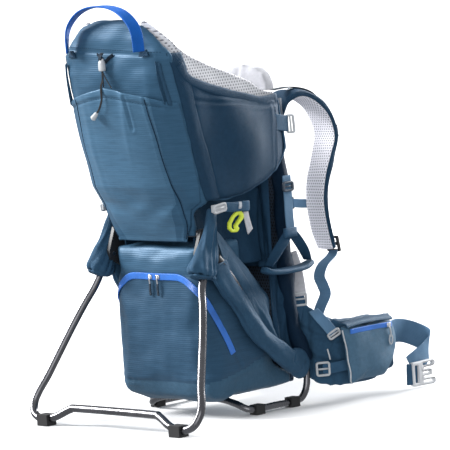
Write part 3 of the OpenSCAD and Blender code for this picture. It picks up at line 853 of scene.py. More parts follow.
def pocket_half(z):
    """Half the pocket's width at z."""
    return np.interp(z, [310, 340, 366, 378, 407, 470, 530, 560], [84, 99, 106, 122, 130, 131, 131, 130])


def pocket_seam(z):
    """How far the raised seams stand from the middle at z."""
    return np.interp(z, [316, 350, 392, 482, 560], [93, 96, 96, 92, 86])


def pocket_fn(u, v):
    """Main rear face between two raised seams, and side faces that run to the shell's edges."""
    c = 2 * u - 1
    z0 = 310 + 248 * v
    half, seam_x = pocket_half(z0), pocket_seam(z0)
    x = c * half
    top = np.clip(1 - np.abs(c) / 0.84, 0, 1)
    z = z0 + v ** 3 * 24 * top ** 0.8 - v ** 3 * 6 * np.clip(np.abs(c) - 0.84, 0, 1) / 0.16
    front = np.clip((v * 248 + 1) / 50, 0.03, 1) ** 0.6
    inside = np.clip(1 - (np.abs(x) / seam_x) ** 2.2, 0, 1)
    out = 2.5 + front * (5 + 11.0 * inside)
    outer = np.clip((half - np.abs(x)) / np.maximum(half - seam_x, 1), 0, 1)
    out = np.where(np.abs(x) > seam_x, 2.5 + 5 * front * outer ** 0.8, out)
    folds = 2.0 * np.sin((z0 + 0.45 * x) / 9.5) * bump2(x, z0, -40, 372, 60, 26)
    folds += 1.8 * np.sin((z0 - 0.55 * x) / 8.0) * bump2(x, z0, 45, 366, 45, 24)
    folds += 1.5 * np.sin((x + 0.1 * z0) / 7.5) * bump2(x, z0, 10, 548, 60, 20)
    folds += 2.2 * np.exp(-((x - 42 + (560 - z0) * 0.12) / 7) ** 2) * np.clip((z0 - 430) / 120, 0, 1)
    folds += 1.6 * np.exp(-((x + 62) / 9) ** 2) * bump2(0 * x, z0, 0, 480, 1, 90)
    folds += 1.4 * np.sin(x / 21 + z0 / 33) * np.sin(z0 / 27)
    hem = 1.3 * np.exp(-(((1 - v) * 242 - 5) / 5) ** 4)
    y = shell_y(x, z0) - out - folds * front - hem
    return x, y, z


pocket = panel("rear_pocket_fabric", pocket_fn, 150, 130, 2.6, M["rib"], M["ribdark"], lambda a,
    b: a < 0.13 or a > 0.865)
pocket_tree = tree_of(pocket)


def pocket_line(c_of_v, n=16, v0=0.02, v1=0.985):
    """A line up the pocket. c_of_v(v) says where it runs, from -1 to 1."""
    v = np.linspace(v0, v1, n)
    x, y, z = pocket_fn((np.array([c_of_v(t) for t in v]) + 1) / 2, v)
    return np.stack([x, y, z], -1)


def seam_c(t):
    """The raised seam's place from 0 to 1, t of the way up."""
    z0 = 310 + 248 * t
    return min(0.98, pocket_seam(z0) / pocket_half(z0))


groove(pocket, [pocket_line(seam_c, 40), pocket_line(lambda t: -seam_c(t), 40)], 1.5, 2.2, 0.5)
groove(pocket, [pocket_line(lambda t: 0.36 + 0.10 * (1 - t), 20, 0.78, 0.97)], 1.4, 2.4, 0.6)
hem_line = np.stack(pocket_fn(np.linspace(0.01, 0.99, 60), np.full(60, 0.952)), -1)
groove(pocket, [hem_line], 0.9, 2.0, 0.3)
add(pocket, "frame", "rear_pocket")
for k, sign in ((0, 1), (1, -1)):
    add(seam("pocket_welt_%d" % k, pocket_line(lambda t: sign * seam_c(t), 18), pocket_tree, M["thread"],
        0.7, -0.1), "frame")
    add(stitches("pocket_stitch_%d" % k, pocket_line(lambda t: sign * (seam_c(t) - 0.045), 18), pocket_tree,
        M["mid"]), "frame")
add(stitches("hem_stitches", hem_line[::3], pocket_tree, M["mid"], dense=4), "frame")


def pocket_gusset(u, v):
    """Folded strip between the top of the pocket and the shell's edge."""
    x = 110 + 5 * (1 - v) + 9 * u
    fold = 4.5 * np.abs(np.sin(u * math.pi * 2)) * (1 - 0.6 * v)
    return (x + 1.5 * np.sin(u * 9.4) * (1 - 0.5 * v), shell_y(x, 556 + 68 * v) - 3.0 - fold,
        552 + 72 * v - 4 * u)


gusset = panel("pocket_gusset", pocket_gusset, 30, 24, 1.2, M["mid"])
pair(gusset, "frame")

# Closure: black tab, lock, button and the cord's conical end.
tab = joined("closure_tab", [sweep("t1", on_surface([[-26, -256, 640], [-16, -257, 632], [-8, -262, 625]],
    shell_tree, 1.5, 4), flat(6, 1.6), M["webblack"], (0, -0.2, 1)), sweep("t2",
    on_surface([[14, -256, 638], [3, -257, 631], [-6, -262, 625]], shell_tree, 1.5, 4), flat(6, 1.6),
    M["webblack"], (0, -0.2, 1)), sweep("t3", [[-7, -258, 641], [-7, -263, 636], [-7, -265, 629]],
    flat(8, 1.6), M["webblack"], (1, 0, 0))])
add(tab, "frame")
lock_line = [[-7, -261, 610.2], [-7, -261, 612], [-7, -261, 616], [-7, -261, 621], [-7, -261, 625],
    [-7, -261, 627]]
lock = sweep("lock_barrel", lock_line, [(6.2 * math.copysign(abs(math.cos(a)) ** 0.7, math.cos(a)),
    5.2 * math.copysign(abs(math.sin(a)) ** 0.7, math.sin(a))) for a in np.linspace(0, 2
    * math.pi, 25)[:-1]], M["grey"], (1, 0, 0),
    scale=lambda t: (0.86 + 0.16 * math.sin(math.pi * min(1, t * 1.3)),
    0.86 + 0.16 * math.sin(math.pi * t)))
add(lock, "cord_lock", "cord_lock")
button = sweep("lock_button", [[-7, -261, 623.6], [-7, -261, 628], [-7, -261, 630.4], [-7, -261, 631.4]],
    circle(4.2, 20), M["white"], (1, 0, 0), scale=lambda t: (1 - 0.35 * t ** 4, 1 - 0.35 * t ** 4))
add(button, "cord_lock_button", "cord_lock_button")
end_dir = unit([-0.75, 0, -0.65])
e0 = np.array(CORD[-1], float)
tip = sweep("cord_tip", [e0 + end_dir * s for s in (0, 1.5, 4, 8, 12, 14.5, 15.8)], circle(5.4, 24),
    M["grey"], (0, 1, 0),
    scale=lambda t: ((0.42 + 0.62 * t ** 0.7) * (1 - 0.25 * max(0, t - 0.86) / 0.14),) * 2)
add(tip, "frame", "cord_end")

# Thin elastic that runs from the lock to the pocket's hem.
for k, (x1, z1) in enumerate(((-3, 583), (17, 581))):
    line = curve([[-6, -262, 612], [-4 + k * 5, -263, 600], [x1, -264.5, z1]], 8)
    add(tube("hem_elastic_%d" % k, line, 0.9, M["cord"], n=8), "frame")

# Grab handle: folded webbing in an arch, sewn down with small tabs.
HANDLE = [[90, 642], [87, 672], [76, 692], [52, 710], [20, 719], [-20, 719], [-52, 710], [-76, 692],
    [-87, 672], [-90, 642]]
arch = curve([[x, -263, z] for x, z in HANDLE], 10)
twist = [(0.69, 0.72, 0), (0.55, 0.83, 0), (0.2, 1, 0), (-0.3, 0.95, 0), (-0.66, 0.75, 0)]
handle = sweep("handle_webbing", arch, flat(19, 3.2), M["handle"], twist)
rims = [tube("handle_rim_%d" % k, [q + d[0] * off for q, d in zip(arch, sections(arch, twist))], 1.7,
    M["handle"], n=12) for k, off in ((0, 8.2), (1, -8.2))]
handle = joined("handle_webbing_arch", [handle] + rims)
add(handle, "frame", "grab_handle")
for sign in (1, -1):
    x0 = 90 * sign
    foot = panel("handle_tab_%s" % ("right" if sign > 0 else "left"), lambda u,
        v: (x0 + (u - 0.5) * (14 + 8 * (1 - v)), shell_y(x0 + (u - 0.5) * 20, 634 + 8 * v) - 3.4 - 2.4 * v,
        633 + 12 * v), 10, 10, 1.6, M["navy"])
    add(foot, "frame")

# ---------------------------------------------------------------- side wings and lining
wing = soft("wing_fabric_right", "wing_right", 0.0055, M["navy"], relax=3, shrink=0.001)
head = soft("head_pad", "head_cushion", 0.0055, M["mesh_xz"], relax=3, shrink=0.001)
chin = soft("chin_rest_pad", "chin_pad", 0.0055, M["soft"], relax=4, shrink=0.002)
bag = soft("lower_bag_fabric", ["lower_bag", "bag_band"], 0.0072, M["ribdeep"], relax=4, shrink=0.001)
fin = soft("hip_fin_pad_right", "hip_fin_right", 0.0052, M["mid"], relax=3, shrink=0.0015)
purse = soft("hip_pocket_fabric_right", "hip_pocket_right", 0.005, M["pale"], relax=4, shrink=0.001)
lumbar = soft("lumbar_pad_mesh", "lumbar_pad", 0.0055, M["mesh_xz"], relax=3, shrink=0.0015)
back = soft("back_panel_fabric", "back_panel", 0.0065, M["mesh_navy"], relax=2)
seat = soft("child_seat_pad", "child_seat", 0.006, M["navy"], relax=4, shrink=0.0015)
puff([(wing, 4, 0.004), (head, 5, 0.006), (chin, 5, 0.006), (bag, 3, 0.004), (fin, 5, 0.004),
    (purse, 5, 0.004), (lumbar, 5, 0.004), (seat, 5, 0.004)])

refine(wing)
yoke = [[136, -214, 556], [137, -160, 548], [137, -105, 540], [137, -55, 532], [137, -14, 528],
    [134, 20, 527]]
front_seam = [[137, -3, 526], [137, -5, 490], [137, -9, 450], [135, -12, 402]]
shape(wing, lambda p,
    n: np.stack([np.where(n[:, 0] > 0.3, 1, 0) * (12.0 * bump2(p[:, 1], p[:, 2], -66, 462, 56, 80) - 5.0
    * bump2(p[:, 1], p[:, 2], -158, 470, 34, 80) - 6.0 * np.clip((p[:, 1] + 4) / 28, 0, 1)), 0 * p[:, 0],
    0 * p[:, 0]], -1))
creases(wing, 2.4, 15, 8.3, (1, 1.6, 0.7))
groove(wing, [curve(yoke, 6), curve(front_seam, 6)], 1.8, 2.6, 0.6)
pair(wing, "frame", "wing_{}")
wing_tree = tree_of(wing)
pair(stitches("wing_stitches_right", [[p[0], p[1], p[2] - 5] for p in yoke], wing_tree, M["thread"]),
    "frame")
pair(stitches("wing_front_stitches_right", [[p[0], p[1] + 5, p[2]] for p in front_seam], wing_tree,
    M["thread"]), "frame")
# Strip beside the shell: height, the shell's edge and the wing's edge.
EDGE = np.array([[378, -167, -157], [407, -179, -163], [470, -193, -180], [530, -206, -196],
    [570, -214, -204], [605, -224, -212], [634, -232, -219]], float)


def edge_gusset(u, v):
    """Folded strip between the rear shell's edge and the wing."""
    z = 380 + 256 * v
    rear = np.interp(z, EDGE[:, 0], EDGE[:, 1]) - 3
    front = np.interp(z, EDGE[:, 0], EDGE[:, 2]) + 14
    x = 131.5 + 4.5 * u + 2.0 * np.sin(math.pi * u) - 5 * np.clip((v - 0.9) / 0.1, 0, 1)
    return x, rear * (1 - u) + front * u, z


strip = panel("wing_edge_gusset_right", edge_gusset, 14, 60, 3.0, M["navy"])
creases(strip, 1.4, 34, 0.6, (1, 1, 0.8))
pair(strip, "frame")
collar = sweep("wing_collar_right", curve([[132, -214, 617], [133, -200, 594], [134, -177, 580],
    [134, -131, 564], [134, -61, 544], [133, -24, 536], [130, 12, 538]], 8), oval(17, 8, 24, 0.7),
    M["navy"], (0, 0.2, 1))
creases(collar, 1.2, 30, 2.4)
pair(collar, "frame", None)
hem = [[133, -158, 377], [133, -125, 376], [133, -76, 384], [133, -33, 396], [133, 0, 414], [133, 18, 430],
    [133, 26, 448], [133, 26, 489], [133, 23, 534]]
pair(seam("wing_binding_right", hem, wing_tree, M["web"], 2.0, 0.4), "frame")

# Adjusting tab on the wing's front edge, with its ladder lock.
strap_pair("wing_tab_right", [[138, -8, 499], [137, 8, 496], [134, 24, 493], [131, 36, 491]], 6,
    flat(28, 2.6), M["mid"], (0, -0.05, 1), "frame")
wing_lock = frame_buckle("wing_lock_right", [131, 43, 490], [(0, -0.05, 1), (0.3, 1, 0), (1, -0.3, 0)],
    M["grey"], 34, 17, 5)
pair(wing_lock, "frame")

# Mesh rim: a rolled, padded edge above each wing, light inside and out.
TOP = [[-228, 692], [-225, 678], [-217, 660], [-205, 645], [-179, 627], [-150, 614], [-125, 604],
    [-90, 590], [-56, 577], [-36, 567], [-18, 556], [-6, 551], [8, 549], [14, 545]]
rim_top = curve([[0, y, z] for y, z in TOP], 5)


def rim_fn(u, v):
    t = u * (len(rim_top) - 1)
    i = np.clip(t.astype(int), 0, len(rim_top) - 2)
    f = t - i
    y = rim_top[i, 1] * (1 - f) + rim_top[i + 1, 1] * f
    zt = rim_top[i, 2] * (1 - f) + rim_top[i + 1, 2] * f
    fall = 14 + 70 * np.clip((u - 0.16) / 0.25, 0, 1) - 20 * np.clip((u - 0.6) / 0.4, 0, 1)
    out, up = np.cos(v * 2 * math.pi), np.sin(v * 2 * math.pi)
    x = np.interp(zt, [640, 655, 668, 680, 692], [119.5, 114, 103, 88, 66])
    x = x + 3.4 * out * (1 + 0.25 * np.sin(u * 3.1)) + np.where(up > 0, 3.5 * up, 0) + 0.8 * np.sin(u
        * 40) * up
    return x, y, zt - 5 + np.where(up > 0, 5.5 * up, fall * up)


RIM_LONG, RIM_ROUND = 90, 32
u, v = np.meshgrid(np.linspace(0, 1, RIM_LONG), np.linspace(0, 1, RIM_ROUND + 1)[:-1])
verts = np.stack(rim_fn(u, v), -1).reshape(-1, 3)
faces = []
for i in range(RIM_ROUND):
    here, there = i * RIM_LONG, (i + 1) % RIM_ROUND * RIM_LONG
    faces += [(here + j, here + j + 1, there + j + 1, there + j) for j in range(RIM_LONG - 1)]
faces.append(tuple(i * RIM_LONG for i in range(RIM_ROUND)))
faces.append(tuple(i * RIM_LONG + RIM_LONG - 1 for i in range(RIM_ROUND))[::-1])
rim = link("mesh_rim_right", verts, faces, M["mesh_yz"])
creases(rim, 1.6, 22, 2.2)
pair(rim, "frame", None)
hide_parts("mesh_rim")

refine(head)
groove(head, [[[0, -180, z] for z in range(475, 680, 15)], [[-60, -182, z] for z in range(480, 670, 15)],
    [[60, -182, z] for z in range(480, 670, 15)]], 2.2, 4.5, 0.8)
head.data.materials.append(M["mesh_yz"])
for f in head.data.polygons:
    f.material_index = 1 if abs(f.normal.x) > 0.65 else 0
add(head, "frame", "head_cushion")
refine(chin)
for s in (1, -1):
    groove(chin, [[[66 * s, y, 610 - 1.4 * abs(k)] for k, y in enumerate(range(-20, 24, 6))],
        [[66 * s, 16, z] for z in range(550, 605, 8)], [[66 * s, -14, z] for z in range(550, 605, 8)]], 2.6,
        4.5, 0.8)
creases(chin, 1.6, 24, 5)
add(chin, "chin_pad", "chin_pad")
# Two webbing tabs that go down into the pod and hold the pad when it is lifted.
tab = sweep("chin_pad_tab_right", curve([[76, 1, 560], [76, 0.6, 530], [76, 0, 500], [76, 0, 478]], 8),
    flat(26, 2.4), M["webgrey"], (1, 0, 0))
pair(tab, "chin_pad")
refine(seat)
creases(seat, 1.5, 22, 1)
add(seat, "seat", "child_seat")
HARNESS = [[38, -193, 424], [38, -185, 404], [36, -174, 380], [30, -164, 358], [17, -140, 341],
    [8, -120, 337]]
harness = sweep("harness_strap_right", curve(HARNESS, 5), oval(24, 4, 20, 0.4), M["webblack"], (1, 0, 0))
pair(harness, "seat")
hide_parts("harness")
edged("harness_buckle", M["black"], 0.0015)

# ---------------------------------------------------------------- lower bag
def round_corners(o, half, face, r):
    """Rounds the upright rear corners of a piece to radius r, in mm."""
    co = coords(o) / MM
    dx, dy = np.abs(co[:, 0]) - (half - r), (face + r) - co[:, 1]
    d = np.maximum(np.hypot(dx, dy), 1e-6)
    k = np.where((dx > 0) & (dy > 0), np.minimum(1, r / d), 1)
    co[:, 0] = np.where(k < 1, np.sign(co[:, 0]) * (half - r + dx * k), co[:, 0])
    co[:, 1] = np.where(k < 1, face + r - dy * k, co[:, 1])
    set_coords(o, co * MM)
    return o


refine(bag)
BAND_Z = 252        # the seam between the bag and the band above it
round_corners(bag, 117, -181, 30)
shape(bag, lambda p,
    n: np.stack([np.sign(p[:, 0]) * np.where(np.abs(n[:, 0]) > 0.4, 1, 0) * 2.5
    * bump2(p[:, 1], p[:, 2], -110, 130, 55, 60),
    np.where(n[:, 1] < -0.4, -1, 0) * 4.0 * bump2(p[:, 0], p[:, 2], 0, 150, 85, 70),
    -2.0 * (p[:, 2] < 60) * (p[:, 1] < -116)], -1))
creases(bag, 3.0, 13, 4.4, (1, 1, 1.5))
creases(bag, 1.2, 38, 1.4)
side_line = [[118, -120, 116], [118, -112, 102], [118, -105, 88]]
base_line = [[80, -181, 64], [100, -172, 66], [113, -158, 68], [117, -117, 76], [117, -67, 90],
    [117, -12, 104]]
back_line = [[x, -181, 63 + (x / 70) ** 2] for x in range(-84, 88, 14)]
lines = []
for s in (1, -1):
    for l in (side_line, base_line):
        lines.append(curve([[p[0] * s, p[1], p[2]] for p in l], 8))
bag.data.materials.append(M["base"])
bag.data.materials.append(M["ribdark"])
BASE_Y, BASE_Z = [-181, -158, -117, -67, -12, 40], [64, 68, 76, 90, 104, 116]
for f in bag.data.polygons:
    c = f.center / MM
    f.material_index = 2 if c.z > BAND_Z else int(c.z < np.interp(c.y, BASE_Y, BASE_Z))
groove(bag, lines + [curve(back_line, 2)], 1.8, 3.0, 0.6)
groove(bag, [[[x, -180, BAND_Z] for x in range(-112, 116, 14)]], 1.6, 3.0, 0.4)
add(bag, "frame", ("lower_bag", "bag_band"))
bag_tree = tree_of(bag)

# Right half of the zip arc on the bag; it is laid on the fabric by a ray cast.
ARC = [[48, -182, 248.5], [62, -182, 247], [76, -182, 242], [88, -180, 234], [98, -176, 224],
    [106, -170, 212], [112, -162, 198], [116, -152, 178], [118, -140, 152], [118, -128, 124],
    [118, -123, 112]]
arc = [[-p[0], p[1], p[2]] for p in ARC[::-1]] + [[0, -182, 248.5]] + ARC
zip_line = curve(arc, 10)
zip_out = np.zeros_like(zip_line)
for i, q in enumerate(zip_line):
    side = np.clip((abs(q[0]) - 60) / 58, 0, 1) ** 1.5
    out = unit([np.sign(q[0]) * side, -(1.02 - side), 0])
    where, normal, _, _ = bag_tree.ray_cast(Vector(q + out * 40) * MM, Vector(-out), 0.12)
    if where is not None:
        zip_line[i] = np.array(where) / MM + out * 0.9
    zip_out[i] = out
for _ in range(14):         # smooths what the ray cast left
    zip_line[1:-1] = (zip_line[:-2] + zip_line[1:-1] * 2 + zip_line[2:]) / 4
zip_side = [np.cross(unit(zip_line[min(i + 1, len(zip_line) - 1)] - zip_line[max(i - 1, 0)]),
    zip_out[i]) for i in range(len(zip_line))]
bag_zip = sweep("bag_zip_arc", zip_line, flat(12, 2.8), M["zip"], zip_side)
add(bag_zip, "frame", "bag_zipper")
for side, s in (("right", 1), ("left", -1)):
    pull = joined("zip_pull_" + side, [sweep("zb", [[5.2 * s, -183.6, 248], [8 * s, -184.4, 248],
        [11 * s, -184.2, 248], [13.8 * s, -183.4, 248]], oval(7.6, 3.6, 16), M["steel"], (0, 0, 1)),
        sweep("zl", curve([[9.5 * s, -185.2, 249], [9.5 * s, -186.4, 244], [9.5 * s, -185.6, 238],
        [9.5 * s, -185.2, 230], [9.5 * s, -185, 227]], 5), oval(3.4, 1.6, 12), M["steel"], (1, 0, 0)),
        sweep("zp", curve([[9.5 * s, -185.4, 236], [9.3 * s, -186, 230], [9.6 * s, -185.6, 222],
        [9.5 * s, -185.2, 216]], 5), flat(5, 1.8), M["webblack"], (1, 0, 0))])
    add(pull, "zip_slider_" + side, "zip_slider_" + side)

# ---------------------------------------------------------------- frame and kickstand


def kick_point(x, z):
    return [x, -180 - 0.49 * (272 - z), z]


KICK = [[127, 272], [133, 235], [149, 200], [165, 160], [179, 120], [193, 80], [204, 56], [208, 38],
    [201, 20], [184, 12], [164, 11], [140, 17], [112, 29], [88, 31.5]]
kick = [kick_point(*p) for p in KICK] + [kick_point(-x, z) for x, z in KICK[::-1]]
add(tube("kickstand_tube", curve(kick, 8), 7, M["tube"], 28, [0, 0.9, -0.44]), "kickstand",
    "kickstand")
BASE = [[124, 47, 62], [125, 44, 34], [125, 34, 16], [125, 16, 9], [125, -40, 9], [125, -84, 9],
    [118, -99, 12], [98, -104, 20], [66, -104, 26], [30, -104, 27]]
base = BASE + [[-p[0], p[1], p[2]] for p in BASE[::-1]]
add(tube("base_tube", curve(base, 8), 6, M["tube"], 26), "frame", "base_loop")
for node in ("upright_right", "upright_left", "cross_tubes", "brace_right", "brace_left"):
    edged(node, M["tube"], 0)
edged("hinge_brackets", M["black"], 0.0008)
edged("pivot_pins", M["steel"], 0.0006)
edged("kickstand_knuckles", M["black"], 0.0008)
edged("base_feet", M["rubber"], 0.0016)
edged("kickstand_feet", M["rubber"], 0.0022)

# Cover over the hinge, which on the pack is fixed to the frame above and gathered round the leg at its
# elastic hem; the piece is not put on any body. COVER holds (place along the path, half width, half depth).
cover_path = curve([[120, -150, 362], [124, -156, 346], [127, -164, 325], [128, -172, 302],
    [128.5, -180, 280], [129, -187, 262], [129.5, -191, 252], [129.5, -189, 259]], 6)
COVER = [(0, 6, 7), (0.15, 8, 10), (0.3, 11, 14), (0.45, 15, 20), (0.6, 19, 26), (0.72, 22, 30),
    (0.8, 20, 27), (0.845, 15.5, 20), (0.875, 17.5, 23), (0.91, 19, 25), (0.95, 15, 18), (1.0, 10.5, 12)]


def cover_scale(t):
    k = np.array(COVER)
    return (float(np.interp(t, k[:, 0], k[:, 1])), float(np.interp(t, k[:, 0], k[:, 2])))


cover = sweep("hinge_cover_right", cover_path, circle(1, 48), M["mid"], (1, 0, 0), scale=cover_scale)
refine(cover, 1, 1)
co = coords(cover)
ang = np.arctan2(co[:, 1] * 1000 + 188 + 0.45 * (252 - co[:, 2] * 1000), co[:, 0] * 1000 - 129)
z = co[:, 2] * 1000
gather = 1.5 * np.exp(-((z - 268) / 14) ** 2) + 1.3 * np.exp(-((z - 312) / 22) ** 2)
n = normals(cover)
set_coords(cover, co + n * (gather * np.sin(ang * 11 + z / 9) * MM)[:, None])
creases(cover, 5.5, 24, 7.7, (1, 1, 0.6))
creases(cover, 2.2, 60, 1.2, (1, 1, 0.5))
cover_left = mirror(cover, "hinge_cover_left")
for o, side in ((cover, "right"), (cover_left, "left")):
    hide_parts("sleeve_" + side)
    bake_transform(o)

# Sleeve round the brace, from the hinge cover to the foot of the frame.
sleeve = sweep("brace_cover_right", curve([[126, -150, 272], [128, -139, 240], [130, -112, 200],
    [131, -88, 164], [131, -62, 132], [131, -30, 105], [130, 4, 81], [128, 28, 71]], 8), circle(1, 40),
    M["mid"], (1, 0, 0), scale=lambda t: (11 + 2.5 * math.sin(math.pi * min(1, t * 1.1)),
    19.5 - 2.5 * math.sin(math.pi * t) + 1.0 * t - 7 * max(0, t - 0.9) * 10))
co, n = coords(sleeve), normals(sleeve)
along = co[:, 1] * 0.8 - co[:, 2] * 0.6
round_ = np.arctan2(n[:, 0], n[:, 2] * 0.8 + n[:, 1] * 0.6)
folds = 1.1 * np.sin(round_ * 4 + along * 30) + 0.7 * np.sin(round_ * 7 - along * 22)
set_coords(sleeve, co + n * (folds * MM)[:, None])
creases(sleeve, 2.2, 22, 2.7)
creases(sleeve, 1.0, 60, 6.1)
pair(sleeve, "frame", "brace_sleeve_{}")
wrap = sweep("brace_wrap_right", curve([[129, 2, 84], [128, 18, 76], [127, 31, 70], [125, 40, 66]], 8),
    circle(1, 32), M["mid"], (1, 0, 0), scale=lambda t: (13.5 - 3 * t, 20 + 5 * math.sin(math.pi * t)))
creases(wrap, 2.5, 40, 3.3)
pair(wrap, "frame", None)

# Dark fabric round the uprights, with folds.
up_path = curve([[124, 45, 72], [118, 38, 105], [112, 27, 160], [112, 24, 220], [112, 24, 300],
    [112, 24, 400], [112, 24, 535]], 8)
up_sleeve = sweep("upright_cover_right", up_path, circle(1, 28), M["deep"], (1, 0, 0),
    scale=lambda t: (11 + 2.0 * math.sin(t * 19), 15 + 3 * math.sin(t * 13 + 1)))
creases(up_sleeve, 6.0, 28, 5.5, (1, 1, 0.8))
creases(up_sleeve, 2.5, 70, 2.5, (1, 1, 0.7))
pair(up_sleeve, "frame")

# Side gusset of the pod between the hinge cover, the brace and the back.
def side_gusset(u, v):
    low = np.array([[-128, 236], [-104, 190], [-80, 150], [-54, 126], [-12, 104]])
    high = np.array([[-146, 342], [-110, 302], [-62, 250], [-33, 212], [-14, 140]])
    t = np.linspace(0, 1, 5)
    y = np.interp(u, t, low[:, 0]) * (1 - v) + np.interp(u, t, high[:, 0]) * v
    z = np.interp(u, t, low[:, 1]) * (1 - v) + np.interp(u, t, high[:, 1]) * v
    x = 121 + 6.5 * np.sin(math.pi * v) * np.sin(math.pi * np.clip(u, 0.03, 1)) ** 0.5 - 12 * v ** 3
    x = x + 0.9 * np.sin(u * 14 + v * 5) * np.sin(math.pi * v)
    return x, y, z


gusset = panel("side_gusset_right", side_gusset, 60, 44, 2.2, M["mid"])
creases(gusset, 3.0, 13, 1.9, (1, 1.2, 1.0))
creases(gusset, 0.6, 50, 0.9, (1, 1.2, 1.0))
groove(gusset, [[[126, -106, 290], [128, -84, 236], [127, -62, 190], [124, -36, 150], [121, -20, 128]]],
    1.2, 2.4, 0.5)
pair(gusset, "frame")

# Inner wall of the pod behind the leg opening, in the navy cloth that is partly painted shade, with the belly
# panel's rolled edge.
def pod_wall(u, v):
    y = -165 + 150 * u
    z = 258 + (150 - 24 * u) * v
    x = 90 + 8 * u - 5 * np.sin(math.pi * v) + 3.0 * np.sin(u * 17 + v * 2.4) * (0.5 + 0.5 * v)
    return x, y, z


wall = panel("pod_wall_right", pod_wall, 60, 34, 2.0, M["navy"])
pair(wall, "frame")


def belly(u, v):
    x = 50 + 66 * u
    z = 246 + 156 * v
    y = -14 + 6 * np.sin(math.pi * u) + 26 * np.clip(u - 0.72, 0, 1) ** 1.2 - 3.0 * np.sin(u * 15 + v * 1.8)
    return x, y - 2.0 * np.sin(u * 29 - v * 2) * np.clip(0.8 - v, 0, 1), z


front = panel("belly_panel_right", belly, 60, 50, 2.4, M["navy"])
creases(front, 3.0, 20, 4.2, (1.6, 1, 0.6))
groove(front, [curve([[54, -14, 250], [55, -12, 276], [66, -10, 292], [80, -8, 292], [90, -8, 276],
    [95, -8, 250]], 6)], 2.4, 3.0, 0.8)
pair(front, "frame")


def drape(u, v):
    y = -16 + 62 * u
    z = 96 + 166 * v
    x = 113 + 4.0 * np.sin(u * 10 + v * 3.2) + 2.0 * np.sin(u * 21 - v * 5) - 3 * v
    return x, y, z


side_drape = panel("side_drape_right", drape, 60, 60, 2.0, M["navy"])
creases(side_drape, 4.0, 26, 6.4, (1, 1.5, 0.5))
pair(side_drape, "frame")

# ---------------------------------------------------------------- back system and straps
refine(back, 0, 2)
creases(back, 1.5, 12, 2.9)
add(back, "frame", "back_panel")
refine(lumbar)
groove(lumbar, [[[0, 68, z] for z in range(98, 226, 10)]], 3.0, 6.0, 0.8)
add(lumbar, "frame", "lumbar_pad")

# The middle of the shoulder strap, from the back's top to the ladder lock.
STRAP = [[78, 52, 505], [80, 66, 528], [85, 95, 538], [89, 130, 524], [91, 158, 496], [92, 170, 457],
    [92, 158, 423], [92, 142, 385], [92, 135, 346], [94, 138, 301], [97, 147, 257]]
strap_line = curve(STRAP, 9)
section = oval(58, 14.5, 40, 0.5)
strap = sweep("shoulder_strap_pad_right", strap_line, section, M["mesh_uv"],
    [(1, 0, 0), (1, -0.1, 0), (1, -0.2, 0)], scale=lambda t: (1 - 0.10 * t + 0.06 * math.sin(math.pi * t),
    1 - 0.25 * abs(2 * t - 1) ** 4), mat2=M["navy"],
    pick=lambda j: section[j][1] < -1.0 or abs(section[j][0]) > 27.8)
refine(strap, 1, 1)
creases(strap, 1.6, 26, 5.2)
pair(strap, "frame", "shoulder_strap_{}")
dirs = sections(strap_line, [(1, 0, 0), (1, -0.1, 0), (1, -0.2, 0)])
for k, s in ((0, 1), (1, -1)):
    line = [p + d[0] * s * 28.6 * (1 - 0.10 * i / len(strap_line)) - d[1] * 2.0 for i,
        (p, d) in enumerate(zip(strap_line, dirs))][2:-2]
    o = tube("strap_binding_%d_right" % k, curve(line[::5], 5), 1.5, M["navy"], 10)
    pair(o, "frame")
dais = sweep("strap_daisy_right", [p - d[1] * 8.2 for p, d in zip(strap_line[18:70], dirs[18:70])],
    flat(18, 1.8), M["web"], (1, -0.1, 0))
pair(dais, "frame")

lifter = strap_pair("lifter_webbing_right", [[88, 48, 549], [88, 95, 549], [90, 138, 535], [92, 169, 500],
    [92, 182, 466]], 8, flat(15, 2), M["webblack"], (1, 0, 0), "frame")
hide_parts("load_lifters")
edged("lifter_buckles", M["black"], 0.0008)
strap_pair("lifter_tail_right", [[92, 185, 470], [92, 188, 461], [92, 184, 448], [92, 176, 432]], 6,
    flat(15, 1.6), M["webblack"], (1, 0, 0), "frame")

low_web = sweep("lower_web_right", curve([[100, 160, 254], [102, 150, 245], [107, 123, 233],
    [111, 108, 215], [113, 113, 198], [113, 118, 182], [112, 106, 163], [112, 98, 150], [113, 92, 140]], 8),
    flat(20, 2), M["webblue"], [(1, 0, 0), (0.95, 0.5, 0), (0.75, 0.7, 0), (0.9, 0.5, 0), (0.9, 0.4, 0)])
low_left = mirror(low_web, "lower_web_left")
for o, side in ((low_web, "right"), (low_left, "left")):
    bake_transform(o)
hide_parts("lower_webbing")
edged("ladder_locks", M["black"], 0.0008)
edged("sternum_buckle", M["black"], 0.0015)
sternum = sweep("sternum_webbing", curve([[62, 147, 338], [40, 147.4, 337.5], [19, 147, 338],
    [18, 147, 338]], 6), flat(16, 2), M["webblue"], (0, 0, 1))
sternum = joined("sternum_webbing_pair", [sternum, sweep("sw2", curve([[-62, 147, 338], [-40, 147.4, 337.5],
    [-19, 147, 338]], 6), flat(16, 2), M["webblue"], (0, 0, 1))])
add(sternum, "sternum", "sternum_strap")

